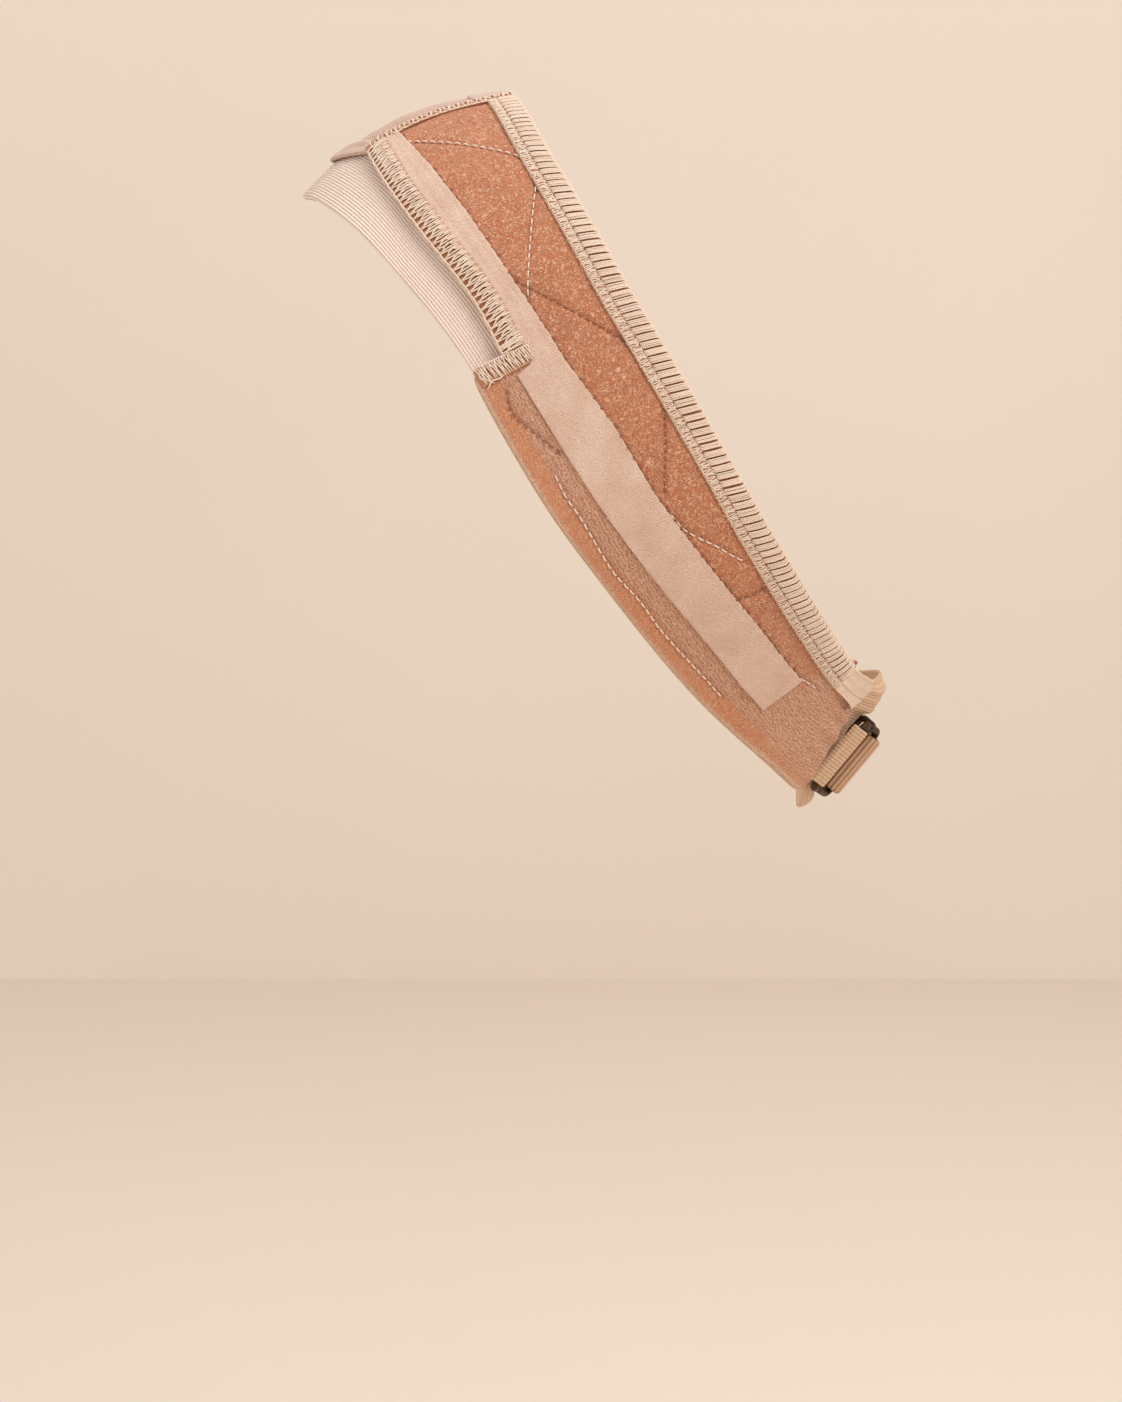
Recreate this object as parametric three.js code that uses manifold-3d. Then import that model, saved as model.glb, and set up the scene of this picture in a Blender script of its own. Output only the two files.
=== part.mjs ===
// Wig grip band, in the form that it has when worn.
// Millimetres, +Z up. The front is at -Y, and +X is the left side in use.
// The origin is at the crown, at the underside of the lace on the midline.
import * as THREE from 'three';
import { mergeVertices } from 'three/addons/utils/BufferGeometryUtils.js';
import Module from 'manifold-3d';

const wasm = await Module();
wasm.setup();

// ---------------------------------------------------------------- driving dimensions
const OVOID_CENTRE = [0, 26, -91];   // centre of the ovoid that the band is stretched round
const OVOID_HALF_WIDTH = 75;         // half the ovoid's width at the temples
const OVOID_SQUARENESS = 0.30;       // 0 is an ellipse, more is fuller sides
const LOW_NARROWING = 0.32;          // share of the half width lost low down
const LOW_FROM = -5, LOW_OVER = 80;  // height where it starts narrowing, and over how far

const GAP = 0.3;                    // between layers that lie on each other
const PANEL_LIFT = 1.6;             // underside of a side panel above the ovoid
const PANEL_THICK = 1.8;            // velour with its lining
const TRIM_THICK = 0.8;             // grip strip, overlocked borders and crown seam
const BORDER_WIDTH = 7.3;           // overlocked border
const NOTCH_BORDER_WIDTH = 5.0;
const SEAM_ON_LACE = 1.9, SEAM_ON_PANEL = 2.6;   // zigzag seam's width on the lace and on the panel
const ELASTIC_LIFT = 0.2, ELASTIC_THICK = 1.0;
const LACE_LIFT = 0.5, LACE_THICK = 1.0, HEM_THICK = 1.7;
const LACE_OVER_ELASTIC = 1.6;      // underside of the lace where it laps the elastic
const NAPE_HALF_WIDTH = 20.6, NAPE_HALF_LENGTH = 29, NAPE_THICK = 1.0;
const WIRE_RADIUS = 0.92;           // buckle wire
const BUCKLE_HALF_HEIGHT = 10.45, BUCKLE_CORNER = 1.8;
const LOOP_RADIUS = 2.05, LOOP_HALF_HEIGHT = 8.9;
const STRAP_RADIUS = 2.6, STRAP_HALF_HEIGHT = 8.7;
const FASTENING_LEVEL = -73.0;      // middle of the buckles along the nape
const STRAP_LEVEL = -73.0;

// Side outline of the ovoid: radius from its centre at each angle up from straight back.
const OUTLINE = [ // angle, radius
  [-90, 100], [-75, 115], [-60, 105.6], [-45, 95.9], [-30, 92.9], [-15, 94.1], [0, 94.4], [15, 92.9],
  [30, 92.1], [45, 90.9], [60, 89.9], [75, 89.8], [90, 90.4], [105, 92.4], [120, 96.2], [135, 96.8],
  [150, 96.1], [165, 95], [180, 93.5], [195, 93], [210, 93], [225, 93], [240, 93], [255, 95],
].map(([angle, radius]) => ({ angle, radius }));

// A side panel, crown to nape. rear is its rear edge, mid the front edge of the grip strip
// (and of the whole panel above the notch), front its front edge below the notch. strip is how
// far the grip strip's rear edge lies from rear to mid. lift is added to the panel's height.
const PANEL = [ // rear x,y,z    mid x,y,z             front x,y,z          strip  lift
  [[26.6, 6.6, -1.9],      [32.1, -29.6, -15.6],  null,                   0.772, 0],
  [[49.3, 13.7, -13.6],    [49.5, -23.6, -25.0],  null,                   0.699, 0],
  [[59.9, 20.0, -24.5],    [61.4, -15.3, -36.0],  null,                   0.673, 0],
  [[69.0, 29.3, -40.7],    [71.3, -2.3, -52.6],   null,                   0.684, 0],
  [[72.5, 35.2, -51.1],    [75.3, 5.0, -66.1],    [74.5, -3.2, -69.4],    0.640, 0],
  [[74.1, 39.7, -58.5],    [76.6, 9.3, -72.3],    [75.8, 0.0, -76.6],     0.650, 0],
  [[75.8, 49.0, -74.2],    [78.2, 19.0, -88.0],   [77.5, 9.1, -92.6],     0.593, 0],
  [[75.2, 58.5, -90.6],    [77.5, 29.1, -103.5],  [76.0, 18.9, -108.2],   0.602, 0],
  [[70.7, 67.9, -107.0],   [72.0, 40.1, -118.4],  [70.3, 29.6, -122.8],   0.566, 0],
  [[59.2, 78.2, -123.8],   [60.2, 54.5, -136.4],  [58.9, 44.4, -141.9],   0.524, 0],
  [[50.4, 84.0, -132.8],   [52.1, 62.2, -146.3],  [51.4, 53.2, -152.0],   0.511, 0],
  [[43.6, 87.8, -138.6],   [45.5, 68.2, -153.5],  [45.0, 60.7, -159.5],   0.501, 0],
  [[36.5, 91.7, -143.9],   [35.4, 75.7, -164.2],  [35.8, 70.4, -168.7],   0.397, 0.3],
  [[26.8, 97.2, -148.2],   [22.9, 82.3, -174.1],  [24.7, 78.6, -176.8],   0.424, 0.9],
].map(([rear, mid, front, strip, lift]) => ({ rear, mid, front, strip, lift }));
const NOTCH_ROW = 4;                // the row where the panel steps forward
const STRIP_END_ROW = 11;           // the row where the grip strip ends

// The forehead elastic, from the midline to the notch, with its rear edge tucked under.
const ELASTIC = [ // front x,y,z        rear x,y,z
  [[0, -47.9, -26.3],     [0, -36.9, -14.9]],
  [[28.1, -42.3, -27.9],  [28.0, -29.6, -16.6]],
  [[49.8, -31.2, -35.8],  [46.9, -20.7, -22.2]],
  [[62.8, -19.3, -48.3],  [59.3, -12.6, -34.0]],
  [[69.2, -9.7, -59.9],   [70.1, 0.3, -53.4]],
  [[72.2, -3.3, -69.1],   [73.4, 7.4, -64.1]],
  [[73.2, -1.4, -72.6],   [74.2, 9.2, -67.8]],
].map(([front, rear]) => ({ front, rear }));

// The lace on the midline: front and rear edge.
const LACE_MID_FRONT = [0, -39.9, -17.8], LACE_MID_REAR = [0, 3.6, -0.2];

// The middle of the nape band on the midline, and the line down the nape.
const NAPE_MIDDLE = [0, 90.1, -165.4], NAPE_DOWN = [0, -0.5227, -0.8525];
const NAPE_RELIEF = [ // across (mm up from its middle), height of the outer face
  [20.6, 1.2], [19.4, 2.0], [18, 4.2], [11.2, 4.4], [8.6, 2.2], [4, 1.2], [-14.9, 1.2], [-16.8, 3.2], [-18.7, 2.9], [-20.6, 1.9],
].map(([across, height]) => ({ across, height }));

// Bars of the wire buckle, in the plane across the nape: x, and distance out along OUT.
const BARS = { loop: [18, 176.0], middleA: [13.9, 177.4], middleB: [12.3, 177.9], strap: [5.2, 181.3] };
const OUT = [0, 0.7723, -0.6353], UP = [0, 0.6353, 0.7723];

// ---------------------------------------------------------------- vectors and the ovoid
const add = (a, b, k = 1) => [a[0] + k * b[0], a[1] + k * b[1], a[2] + k * b[2]];
const sub = (a, b) => add(a, b, -1);
const dot = (a, b) => a[0] * b[0] + a[1] * b[1] + a[2] * b[2];
const cross = (a, b) => [a[1] * b[2] - a[2] * b[1], a[2] * b[0] - a[0] * b[2], a[0] * b[1] - a[1] * b[0]];
const length = (a) => Math.hypot(...a);
const unit = (a) => { const l = length(a); return [a[0] / l, a[1] / l, a[2] / l]; };
const mix = (a, b, t) => [0, 1, 2].map((k) => a[k] + (b[k] - a[k]) * t);
const ease = (x) => { const t = Math.min(1, Math.max(0, x)); return t * t * (3 - 2 * t); };
const mirror = (p) => [-p[0], p[1], p[2]];

function spline4(a, b, c, d, t) {
  return 0.5 * (2 * b + (c - a) * t + (2 * a - 5 * b + 4 * c - d) * t * t + (3 * b - a - 3 * c + d) * t * t * t);
}
function outlineRadius(angle) {
  const n = OUTLINE.length, f = (THREE.MathUtils.radToDeg(angle) + 90) / 15;
  const i = Math.floor(f), at = (k) => OUTLINE[((k % n) + n) % n].radius;
  return spline4(at(i - 1), at(i), at(i + 1), at(i + 2), f - i);
}
function level(p) {                 // below 0 inside the ovoid, above 0 outside
  const [x, y, z] = sub(p, OVOID_CENTRE);
  const q2 = (y * y + z * z) / outlineRadius(Math.atan2(z, y)) ** 2;
  const w = OVOID_HALF_WIDTH * (1 - LOW_NARROWING * ease((LOW_FROM - z) / LOW_OVER));
  return (x / w) ** 2 * (1 - OVOID_SQUARENESS * q2) + q2 - 1;
}
function slope(p) {
  const h = 0.05;
  return [0, 1, 2].map((k) => {
    const a = [...p], b = [...p]; a[k] += h; b[k] -= h;
    return (level(a) - level(b)) / (2 * h);
  });
}
function drop(p) {                  // the point of the ovoid under p
  for (let n = 0; n < 6; n++) { const g = slope(p); p = add(p, g, -level(p) / dot(g, g)); }
  return p;
}
const lift = (p, height) => { const q = drop(p); return add(q, unit(slope(q)), height); };

// A smooth curve through the rows of a table.
function along(rows, s) {
  const i = Math.min(rows.length - 2, Math.max(0, Math.floor(s))), t = s - i;
  const at = (k) => k < 0 ? add(rows[0], sub(rows[0], rows[1])) : k >= rows.length
    ? add(rows.at(-1), sub(rows.at(-1), rows.at(-2))) : rows[k];
  return [0, 1, 2].map((k) => spline4(at(i - 1)[k], at(i)[k], at(i + 1)[k], at(i + 2)[k], t));
}
function tableAt(rows, x, key, value) {   // straight interpolation, falling keys
  if (x >= rows[0][key]) return rows[0][value];
  for (let i = 1; i < rows.length; i++) if (x >= rows[i][key]) {
    const a = rows[i - 1], b = rows[i];
    return a[value] + (b[value] - a[value]) * (a[key] - x) / (a[key] - b[key]);
  }
  return rows.at(-1)[value];
}

// ---------------------------------------------------------------- cloth
// A wall of cloth on a grid of points: low and high are the heights of its two faces above the
// ovoid, and cell says which squares of the grid have cloth.
function cloth(grid, low, high, cell = () => true) {
  const rows = grid.length, cols = grid[0].length, position = [], index = [], ids = new Map();
  const has = (i, j) => i >= 0 && j >= 0 && i < rows - 1 && j < cols - 1 && cell(i, j);
  const vertex = (i, j, face) => {
    const key = (i * cols + j) * 2 + face;
    if (!ids.has(key)) {
      ids.set(key, position.length / 3);
      position.push(...lift(grid[i][j], face ? high(i, j) : low(i, j)));
    }
    return ids.get(key);
  };
  const quad = (a, b, c, d) => index.push(a, b, c, a, c, d);
  for (let i = 0; i < rows - 1; i++) for (let j = 0; j < cols - 1; j++) {
    if (!has(i, j)) continue;
    const v = (a, b, f) => vertex(i + a, j + b, f);
    quad(v(0, 0, 1), v(1, 0, 1), v(1, 1, 1), v(0, 1, 1));
    quad(v(0, 0, 0), v(0, 1, 0), v(1, 1, 0), v(1, 0, 0));
    if (!has(i, j - 1)) quad(v(0, 0, 0), v(1, 0, 0), v(1, 0, 1), v(0, 0, 1));
    if (!has(i, j + 1)) quad(v(1, 1, 0), v(0, 1, 0), v(0, 1, 1), v(1, 1, 1));
    if (!has(i - 1, j)) quad(v(0, 1, 0), v(0, 0, 0), v(0, 0, 1), v(0, 1, 1));
    if (!has(i + 1, j)) quad(v(1, 0, 0), v(1, 1, 0), v(1, 1, 1), v(1, 0, 1));
  }
  return solid(position, index);
}
function solid(position, index) {
  const geometry = new THREE.BufferGeometry();
  geometry.setAttribute('position', new THREE.Float32BufferAttribute(position, 3));
  geometry.setIndex(index);
  if (volume(geometry) < 0) {
    for (let k = 0; k < index.length; k += 3) [index[k], index[k + 1]] = [index[k + 1], index[k]];
    geometry.setIndex(index);
  }
  geometry.computeVertexNormals();
  return geometry;
}
function volume(geometry) {
  const p = geometry.getAttribute('position'), index = geometry.getIndex().array;
  const at = (k) => [p.getX(k), p.getY(k), p.getZ(k)];
  let sum = 0;
  for (let k = 0; k < index.length; k += 3) sum += dot(at(index[k]), cross(at(index[k + 1]), at(index[k + 2]))) / 6;
  return sum;
}
const flipped = (geometry) => {     // the mirror image, for the other side
  const p = geometry.getAttribute('position'), position = [], index = [...geometry.getIndex().array];
  for (let k = 0; k < p.count; k++) position.push(-p.getX(k), p.getY(k), p.getZ(k));
  for (let k = 0; k < index.length; k += 3) [index[k], index[k + 1]] = [index[k + 1], index[k]];
  return solid(position, index);
};
const range = (from, to, steps) => Array.from({ length: steps + 1 }, (_, k) => from + (to - from) * k / steps);

// ---------------------------------------------------------------- the side panel
const rearRail = PANEL.map((r) => r.rear), midRail = PANEL.map((r) => r.mid);
const frontRail = PANEL.slice(NOTCH_ROW).map((r) => r.front);
const rearAt = (s) => along(rearRail, s), midAt = (s) => along(midRail, s);
const frontAt = (s) => along(frontRail, s - NOTCH_ROW);
const valueAt = (s, name) => {
  const i = Math.min(PANEL.length - 2, Math.floor(s));
  return PANEL[i][name] + (PANEL[i + 1][name] - PANEL[i][name]) * (s - i);
};
const stripAt = (s) => valueAt(s, 'strip'), liftAt = (s) => valueAt(s, 'lift');
const LAST = PANEL.length - 1;
const share = (s, width) => width / length(sub(rearAt(s), midAt(s)));   // mm across to a share
const acrossAt = (s, t) => mix(rearAt(s), midAt(s), t);

// stations: closer together where the rows are far apart
const stations = [];
for (let i = 0; i < LAST; i++) {
  const n = Math.max(1, Math.round(length(sub(PANEL[i + 1].mid, PANEL[i].mid)) / 6.5));
  for (let k = 0; k < n; k++) stations.push(i + k / n);
}
stations.push(LAST);

const panelGrid = stations.map((s) => {
  const t1 = share(s, BORDER_WIDTH), t2 = stripAt(s);
  const shares = [0, t1, t1 + (t2 - t1) / 2, t2, 1 - (1 - t2) / 2, 1];
  const row = shares.map((t) => acrossAt(s, t));
  const front = s >= NOTCH_ROW ? frontAt(s) : midAt(s);
  row.push(mix(midAt(s), front, 0.5), front);
  return row;
});
const panelGeometry = cloth(panelGrid,
  (i) => PANEL_LIFT + liftAt(stations[i]), (i) => PANEL_LIFT + PANEL_THICK + liftAt(stations[i]),
  (i, j) => j < 5 || stations[i] >= NOTCH_ROW);

// ---------------------------------------------------------------- trim that lies on the panel
const trimLow = (s) => PANEL_LIFT + PANEL_THICK + liftAt(s) + GAP;
const trimHigh = (s) => trimLow(s) + TRIM_THICK;
const trim = (from, to, edges, extra = []) => {
  const part = [from, ...[...stations, ...extra].sort((a, b) => a - b).filter((s) => s > from + 0.04 && s < to - 0.04), to];
  return cloth(part.map((s) => edges(s)), (i) => trimLow(part[i]), (i) => trimHigh(part[i]));
};
const seamShare = 0.10;             // the seam's half width, in rows
const notchEnd = NOTCH_ROW + 0.76;  // the row position where the step's border ends
const stripGeometry = trim(seamShare + 0.05, STRIP_END_ROW, (s) => {
  const front = s < notchEnd + 0.01 ? 1 - share(s, BORDER_WIDTH + 0.8) : 1;
  const rear = stripAt(s);
  return [acrossAt(s, rear), acrossAt(s, (rear + front) / 2), acrossAt(s, front)];
}, [notchEnd, notchEnd + 0.06]);
const rearBorderGeometry = trim(seamShare + 0.05, LAST, (s) => {
  const w = share(s, BORDER_WIDTH);
  return [acrossAt(s, 0.002), acrossAt(s, w / 2), acrossAt(s, w)];
});
const frontBorderGeometry = trim(seamShare + 0.05, NOTCH_ROW - 0.06, (s) => {
  const w = share(s, BORDER_WIDTH);
  return [acrossAt(s, 1 - w), acrossAt(s, 1 - w / 2), acrossAt(s, 0.998)];
});
// across the step at the temple
const notchDown = unit(sub(midAt(NOTCH_ROW + 0.5), midAt(NOTCH_ROW)));
const notchGeometry = (() => {
  const inner = acrossAt(NOTCH_ROW, 1 - share(NOTCH_ROW, 6.6)), outer = frontAt(NOTCH_ROW);
  const grid = range(0, 1, 4).map((t) => {
    const p = mix(inner, outer, t);
    return [0, 0.5, 1].map((u) => add(p, notchDown, 0.15 + NOTCH_BORDER_WIDTH * u));
  });
  return cloth(grid, () => trimLow(NOTCH_ROW), () => trimHigh(NOTCH_ROW));
})();

// ---------------------------------------------------------------- crown seam and lace
const laceLowAt = (t) => LACE_LIFT + (LACE_OVER_ELASTIC - LACE_LIFT) * (1 - ease((t - 0.13) / 0.07));
const laceHighAt = (t) => laceLowAt(t) + (t >= 0.8 ? HEM_THICK : t < 0.06 ? 1.2 : LACE_THICK);
const seamAt = (t) => drop(mix(rearAt(0), midAt(0), t));
const seamGeometry = (() => {
  const steps = range(0, 1, 12), grid = steps.map((t) => {
    const p = seamAt(t), run = sub(seamAt(Math.min(1, t + 0.02)), seamAt(Math.max(0, t - 0.02)));
    const side = unit(cross(run, slope(p)));
    const down = side[2] < 0 ? side : [-side[0], -side[1], -side[2]];
    return [-SEAM_ON_LACE, -0.5, 1, SEAM_ON_PANEL].map((w) => add(p, down, w));
  });
  // its crown side comes down to the lace, clear of the lace's hems
  const low = (i, j) => j > 0 ? trimLow(0)
    : Math.min(trimLow(0), GAP + Math.max(...[-0.09, 0, 0.09].map((d) => laceHighAt(1 - steps[i] + d))));
  return cloth(grid, low, (i, j) => low(i, j) + TRIM_THICK);
})();

const laceSteps = 14;
const laceShares = [0, 0.055, 0.13, 0.2, 0.35, 0.5, 0.65, 0.78, 0.86, 1];
const laceGrid = laceShares.map((t) => {
  const side = mix(add(midAt(0), [-0.45, 0, 0]), add(rearAt(0), [-0.45, 0, 0]), t);
  const middle = mix(LACE_MID_FRONT, LACE_MID_REAR, t);
  return range(-1, 1, laceSteps).map((a) => [side[0] * a, middle[1] + (side[1] - middle[1]) * a * a,
    middle[2] + (side[2] - middle[2]) * a * a]);
});
const laceGeometry = cloth(laceGrid, (i) => laceLowAt(laceShares[i]), (i) => laceHighAt(laceShares[i]));

// ---------------------------------------------------------------- forehead elastic
const elasticRows = [...ELASTIC.slice(1).reverse().map((r) => ({ front: mirror(r.front), rear: mirror(r.rear) })), ...ELASTIC];
const elasticGrid = range(0, elasticRows.length - 1, (elasticRows.length - 1) * 3).map((s) => {
  const front = along(elasticRows.map((r) => r.front), s), rear = along(elasticRows.map((r) => r.rear), s);
  return range(0, 1, 3).map((t) => mix(front, rear, t));
});
const elasticGeometry = cloth(elasticGrid, () => ELASTIC_LIFT, () => ELASTIC_LIFT + ELASTIC_THICK);

// ---------------------------------------------------------------- nape band
const napeX = range(-NAPE_HALF_LENGTH, NAPE_HALF_LENGTH, 18);
const napeAcross = [1, 0.942, 0.874, 0.544, 0.417, 0.194, -0.25, -0.723, -0.816, -0.908, -1];
const napeGrid = napeX.map((x) => {
  const half = NAPE_HALF_WIDTH - 8.6 * Math.abs(x / 24) ** 1.7;
  const middle = add(NAPE_MIDDLE, [x, 0, 2.9 * (x / 24) ** 2]);
  return napeAcross.map((a) => add(middle, NAPE_DOWN, -a * half));
});
const napeHigh = (i, j) => {
  const relief = tableAt(NAPE_RELIEF, napeAcross[j] * NAPE_HALF_WIDTH, 'across', 'height');
  return relief + (1.2 - relief) * ease((Math.abs(napeX[i]) - 10) / 8);
};
const napeGeometry = cloth(napeGrid, (i, j) => napeHigh(i, j) - NAPE_THICK, napeHigh);

// ---------------------------------------------------------------- buckle, loop and strap
const place = (x, out, up) => add(add([x, 0, 0], OUT, out), UP, up);
const toManifold = (geometry) => {
  const g = geometry.clone(); g.deleteAttribute('normal'); if (g.getAttribute('uv')) g.deleteAttribute('uv');
  const merged = mergeVertices(g, 1e-4);
  return new wasm.Manifold(new wasm.Mesh({ numProp: 3, vertProperties: merged.getAttribute('position').array,
    triVerts: new Uint32Array(merged.getIndex().array) }));
};
const fromManifold = (manifold) => {
  const mesh = manifold.getMesh();
  return solid([...mesh.vertProperties], [...mesh.triVerts]);
};
// A closed ring of wire round two bars.
function wireRing(barA, barB) {
  const a = place(...barA, FASTENING_LEVEL), b = place(...barB, FASTENING_LEVEL);
  const across = unit(sub(b, a)), normal = unit(cross(across, UP));
  const middle = mix(a, b, 0.5), halfAcross = length(sub(b, a)) / 2, path = [];
  for (const [sx, sy] of [[1, 1], [-1, 1], [-1, -1], [1, -1]]) {
    const start = [[1, 1], [-1, 1], [-1, -1], [1, -1]].findIndex(([x, y]) => x === sx && y === sy) * 90;
    for (const d of range(0, 90, 4)) {
      const angle = THREE.MathUtils.degToRad(start + d);
      path.push([sx * (halfAcross - BUCKLE_CORNER) + BUCKLE_CORNER * Math.cos(angle),
        sy * (BUCKLE_HALF_HEIGHT - BUCKLE_CORNER) + BUCKLE_CORNER * Math.sin(angle)]);
    }
  }
  const position = [], index = [], sides = 12, n = path.length;
  path.forEach(([u, v], k) => {
    const [u0, v0] = path[(k + n - 1) % n], [u1, v1] = path[(k + 1) % n];
    const run = unit(add(add([0, 0, 0], across, u1 - u0), UP, v1 - v0));
    const side = cross(run, normal), centre = add(add(middle, across, u), UP, v);
    for (let m = 0; m < sides; m++) {
      const angle = 2 * Math.PI * m / sides;
      position.push(...add(add(centre, side, WIRE_RADIUS * Math.cos(angle)), normal, WIRE_RADIUS * Math.sin(angle)));
    }
  });
  for (let k = 0; k < n; k++) for (let m = 0; m < sides; m++) {
    const a0 = k * sides + m, a1 = k * sides + (m + 1) % sides, k1 = (k + 1) % n;
    const b0 = k1 * sides + m, b1 = k1 * sides + (m + 1) % sides;
    index.push(a0, b0, b1, a0, b1, a1);
  }
  return solid(position, index);
}
const buckleGeometry = fromManifold(toManifold(wireRing(BARS.loop, BARS.middleA))
  .add(toManifold(wireRing(BARS.middleB, BARS.strap))));

// A profile in the plane across the nape, drawn as x and OUT, run along UP.
function extruded(shape, level, halfHeight) {
  const geometry = new THREE.ExtrudeGeometry(shape, { depth: 2 * halfHeight, bevelEnabled: false, curveSegments: 12 });
  geometry.applyMatrix4(new THREE.Matrix4().makeBasis(new THREE.Vector3(1, 0, 0), new THREE.Vector3(...OUT), new THREE.Vector3(...UP)));
  geometry.translate(...add([0, 0, 0], UP, level - halfHeight));
  const g = geometry.clone(); g.deleteAttribute('normal'); g.deleteAttribute('uv');
  const merged = mergeVertices(g, 1e-4);
  return solid([...merged.getAttribute('position').array], [...merged.getIndex().array]);
}
const hole = (x, out) => { const path = new THREE.Path(); path.absarc(x, out, WIRE_RADIUS + GAP + 0.05, 0, 2 * Math.PI, true); return path; };

const loopShape = (() => {
  const [x, out] = BARS.loop, shape = new THREE.Shape();
  const tail = [21.2, 173.9], lean = Math.atan2(tail[1] - out, tail[0] - x), open = 0.62;
  shape.absarc(x, out, LOOP_RADIUS, lean + open, lean + 2 * Math.PI - open, false);
  const off = [-Math.sin(lean) * 0.8, Math.cos(lean) * 0.8];
  shape.lineTo(tail[0] - off[0], tail[1] - off[1]);
  shape.lineTo(tail[0] + off[0], tail[1] + off[1]);
  shape.closePath();
  shape.holes.push(hole(x, out));
  return shape;
})();
const loopGeometry = extruded(loopShape, FASTENING_LEVEL, LOOP_HALF_HEIGHT);

const strapShape = (() => {
  const [x, out] = BARS.strap, shape = new THREE.Shape();
  shape.absarc(x, out, STRAP_RADIUS, -Math.PI / 2, Math.PI / 2, false);
  shape.absarc(-x, out, STRAP_RADIUS, Math.PI / 2, 1.5 * Math.PI, false);
  shape.closePath();
  shape.holes.push(hole(x, out), hole(-x, out));
  return shape;
})();
const strapGeometry = extruded(strapShape, STRAP_LEVEL, STRAP_HALF_HEIGHT);

// ---------------------------------------------------------------- the band
const band = new THREE.Group();
const piece = (name, geometry, colour, roughness, metalness = 0) => {
  const mesh = new THREE.Mesh(geometry, new THREE.MeshStandardMaterial({ color: colour, roughness, metalness }));
  mesh.name = name;
  band.add(mesh);
};
piece('crown_lace', laceGeometry, 0xc1a496, 0.9);
piece('front_elastic', elasticGeometry, 0xe6cec0, 0.85);
for (const [side, form] of [['L', (g) => g], ['R', flipped]]) {
  piece('velour_panel_' + side, form(panelGeometry), 0xc87f5c, 0.95);
  piece('grip_strip_' + side, form(stripGeometry), 0xe4c4ad, 0.9);
  piece('rear_border_' + side, form(rearBorderGeometry), 0xe8ccb8, 0.7);
  piece('front_border_' + side, form(frontBorderGeometry), 0xe8ccb8, 0.7);
  piece('notch_border_' + side, form(notchGeometry), 0xe8ccb8, 0.7);
  piece('crown_seam_' + side, form(seamGeometry), 0xe8ccb8, 0.7);
  piece('end_loop_' + side, form(loopGeometry), 0xcba382, 0.85);
  piece('buckle_' + side, form(buckleGeometry), 0x3c2614, 0.35, 1);
}
piece('nape_band', napeGeometry, 0xcba382, 0.85);
piece('adjuster_strap', strapGeometry, 0xcba382, 0.85);

export default band;
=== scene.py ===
# Wig grip band in the form that it has when worn. Lengths in the functions are millimetres.
import math

import bpy
import numpy as np
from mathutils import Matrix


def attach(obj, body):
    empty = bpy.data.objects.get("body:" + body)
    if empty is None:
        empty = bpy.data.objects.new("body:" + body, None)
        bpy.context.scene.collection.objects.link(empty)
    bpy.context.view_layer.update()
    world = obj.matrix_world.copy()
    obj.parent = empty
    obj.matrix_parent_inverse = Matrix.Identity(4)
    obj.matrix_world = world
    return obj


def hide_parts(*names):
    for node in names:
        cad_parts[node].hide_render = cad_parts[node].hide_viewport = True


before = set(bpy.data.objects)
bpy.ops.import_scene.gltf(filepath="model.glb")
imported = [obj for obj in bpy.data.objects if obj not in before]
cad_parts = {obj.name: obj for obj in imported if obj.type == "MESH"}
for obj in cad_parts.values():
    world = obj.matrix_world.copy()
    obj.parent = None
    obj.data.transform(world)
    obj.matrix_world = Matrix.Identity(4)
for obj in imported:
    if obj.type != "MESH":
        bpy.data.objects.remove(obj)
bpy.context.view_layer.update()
RNG = np.random.default_rng(41)

# ---------------------------------------------------------------- camera
camera = bpy.data.cameras.new("photo_camera")
camera.sensor_fit, camera.sensor_width = "AUTO", 36.0
camera.lens = 3955.0 * 36.0 / 1402.0
camera.clip_start, camera.clip_end = 0.05, 30.0
eye = bpy.data.objects.new("photo_camera", camera)
bpy.context.scene.collection.objects.link(eye)
PITCH = math.radians(5.7895)
EYE = np.array([1020.0, 18.53, -52.56])
eye.location = EYE * 0.001
eye.rotation_euler = (math.pi / 2 - PITCH, 0.0, math.pi / 2)
bpy.context.scene.camera = eye
F, U0, V0 = 3955.0, 561.0, 701.0
AHEAD = np.array([-math.cos(PITCH), 0.0, -math.sin(PITCH)])
RIGHT = np.array([0.0, 1.0, 0.0])
ABOVE = np.array([-math.sin(PITCH), 0.0, math.cos(PITCH)])

# ---------------------------------------------------------------- the ovoid that every layer follows
CENTRE = np.array([0.0, 26.0, -91.0])
OUTLINE = np.array([100, 115, 105.6, 95.9, 92.9, 94.1, 94.4, 92.9, 92.1, 90.9, 89.9, 89.8, 90.4, 92.4, 96.2,
                    96.8, 96.1, 95, 93.5, 93, 93, 93, 93, 95.0])


def ease(x):
    x = np.clip(x, 0.0, 1.0)
    return x * x * (3.0 - 2.0 * x)


def spline4(a, b, c, d, t):
    return 0.5 * (2 * b + (c - a) * t + (2 * a - 5 * b + 4 * c - d) * t * t + (3 * b - a - 3 * c + d) * t * t * t)


def outline_radius(angle):
    f = (np.degrees(angle) + 90.0) / 15.0
    i = np.floor(f).astype(int)
    return spline4(*(OUTLINE[(i + k) % 24] for k in (-1, 0, 1, 2)), f - i)


def level(p):
    x, y, z = p[..., 0], p[..., 1] - CENTRE[1], p[..., 2] - CENTRE[2]
    q2 = (y * y + z * z) / outline_radius(np.arctan2(z, y)) ** 2
    w = 75.0 * (1.0 - 0.32 * ease((-5.0 - z) / 80.0))
    return (x / w) ** 2 * (1.0 - 0.30 * q2) + q2 - 1.0


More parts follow.
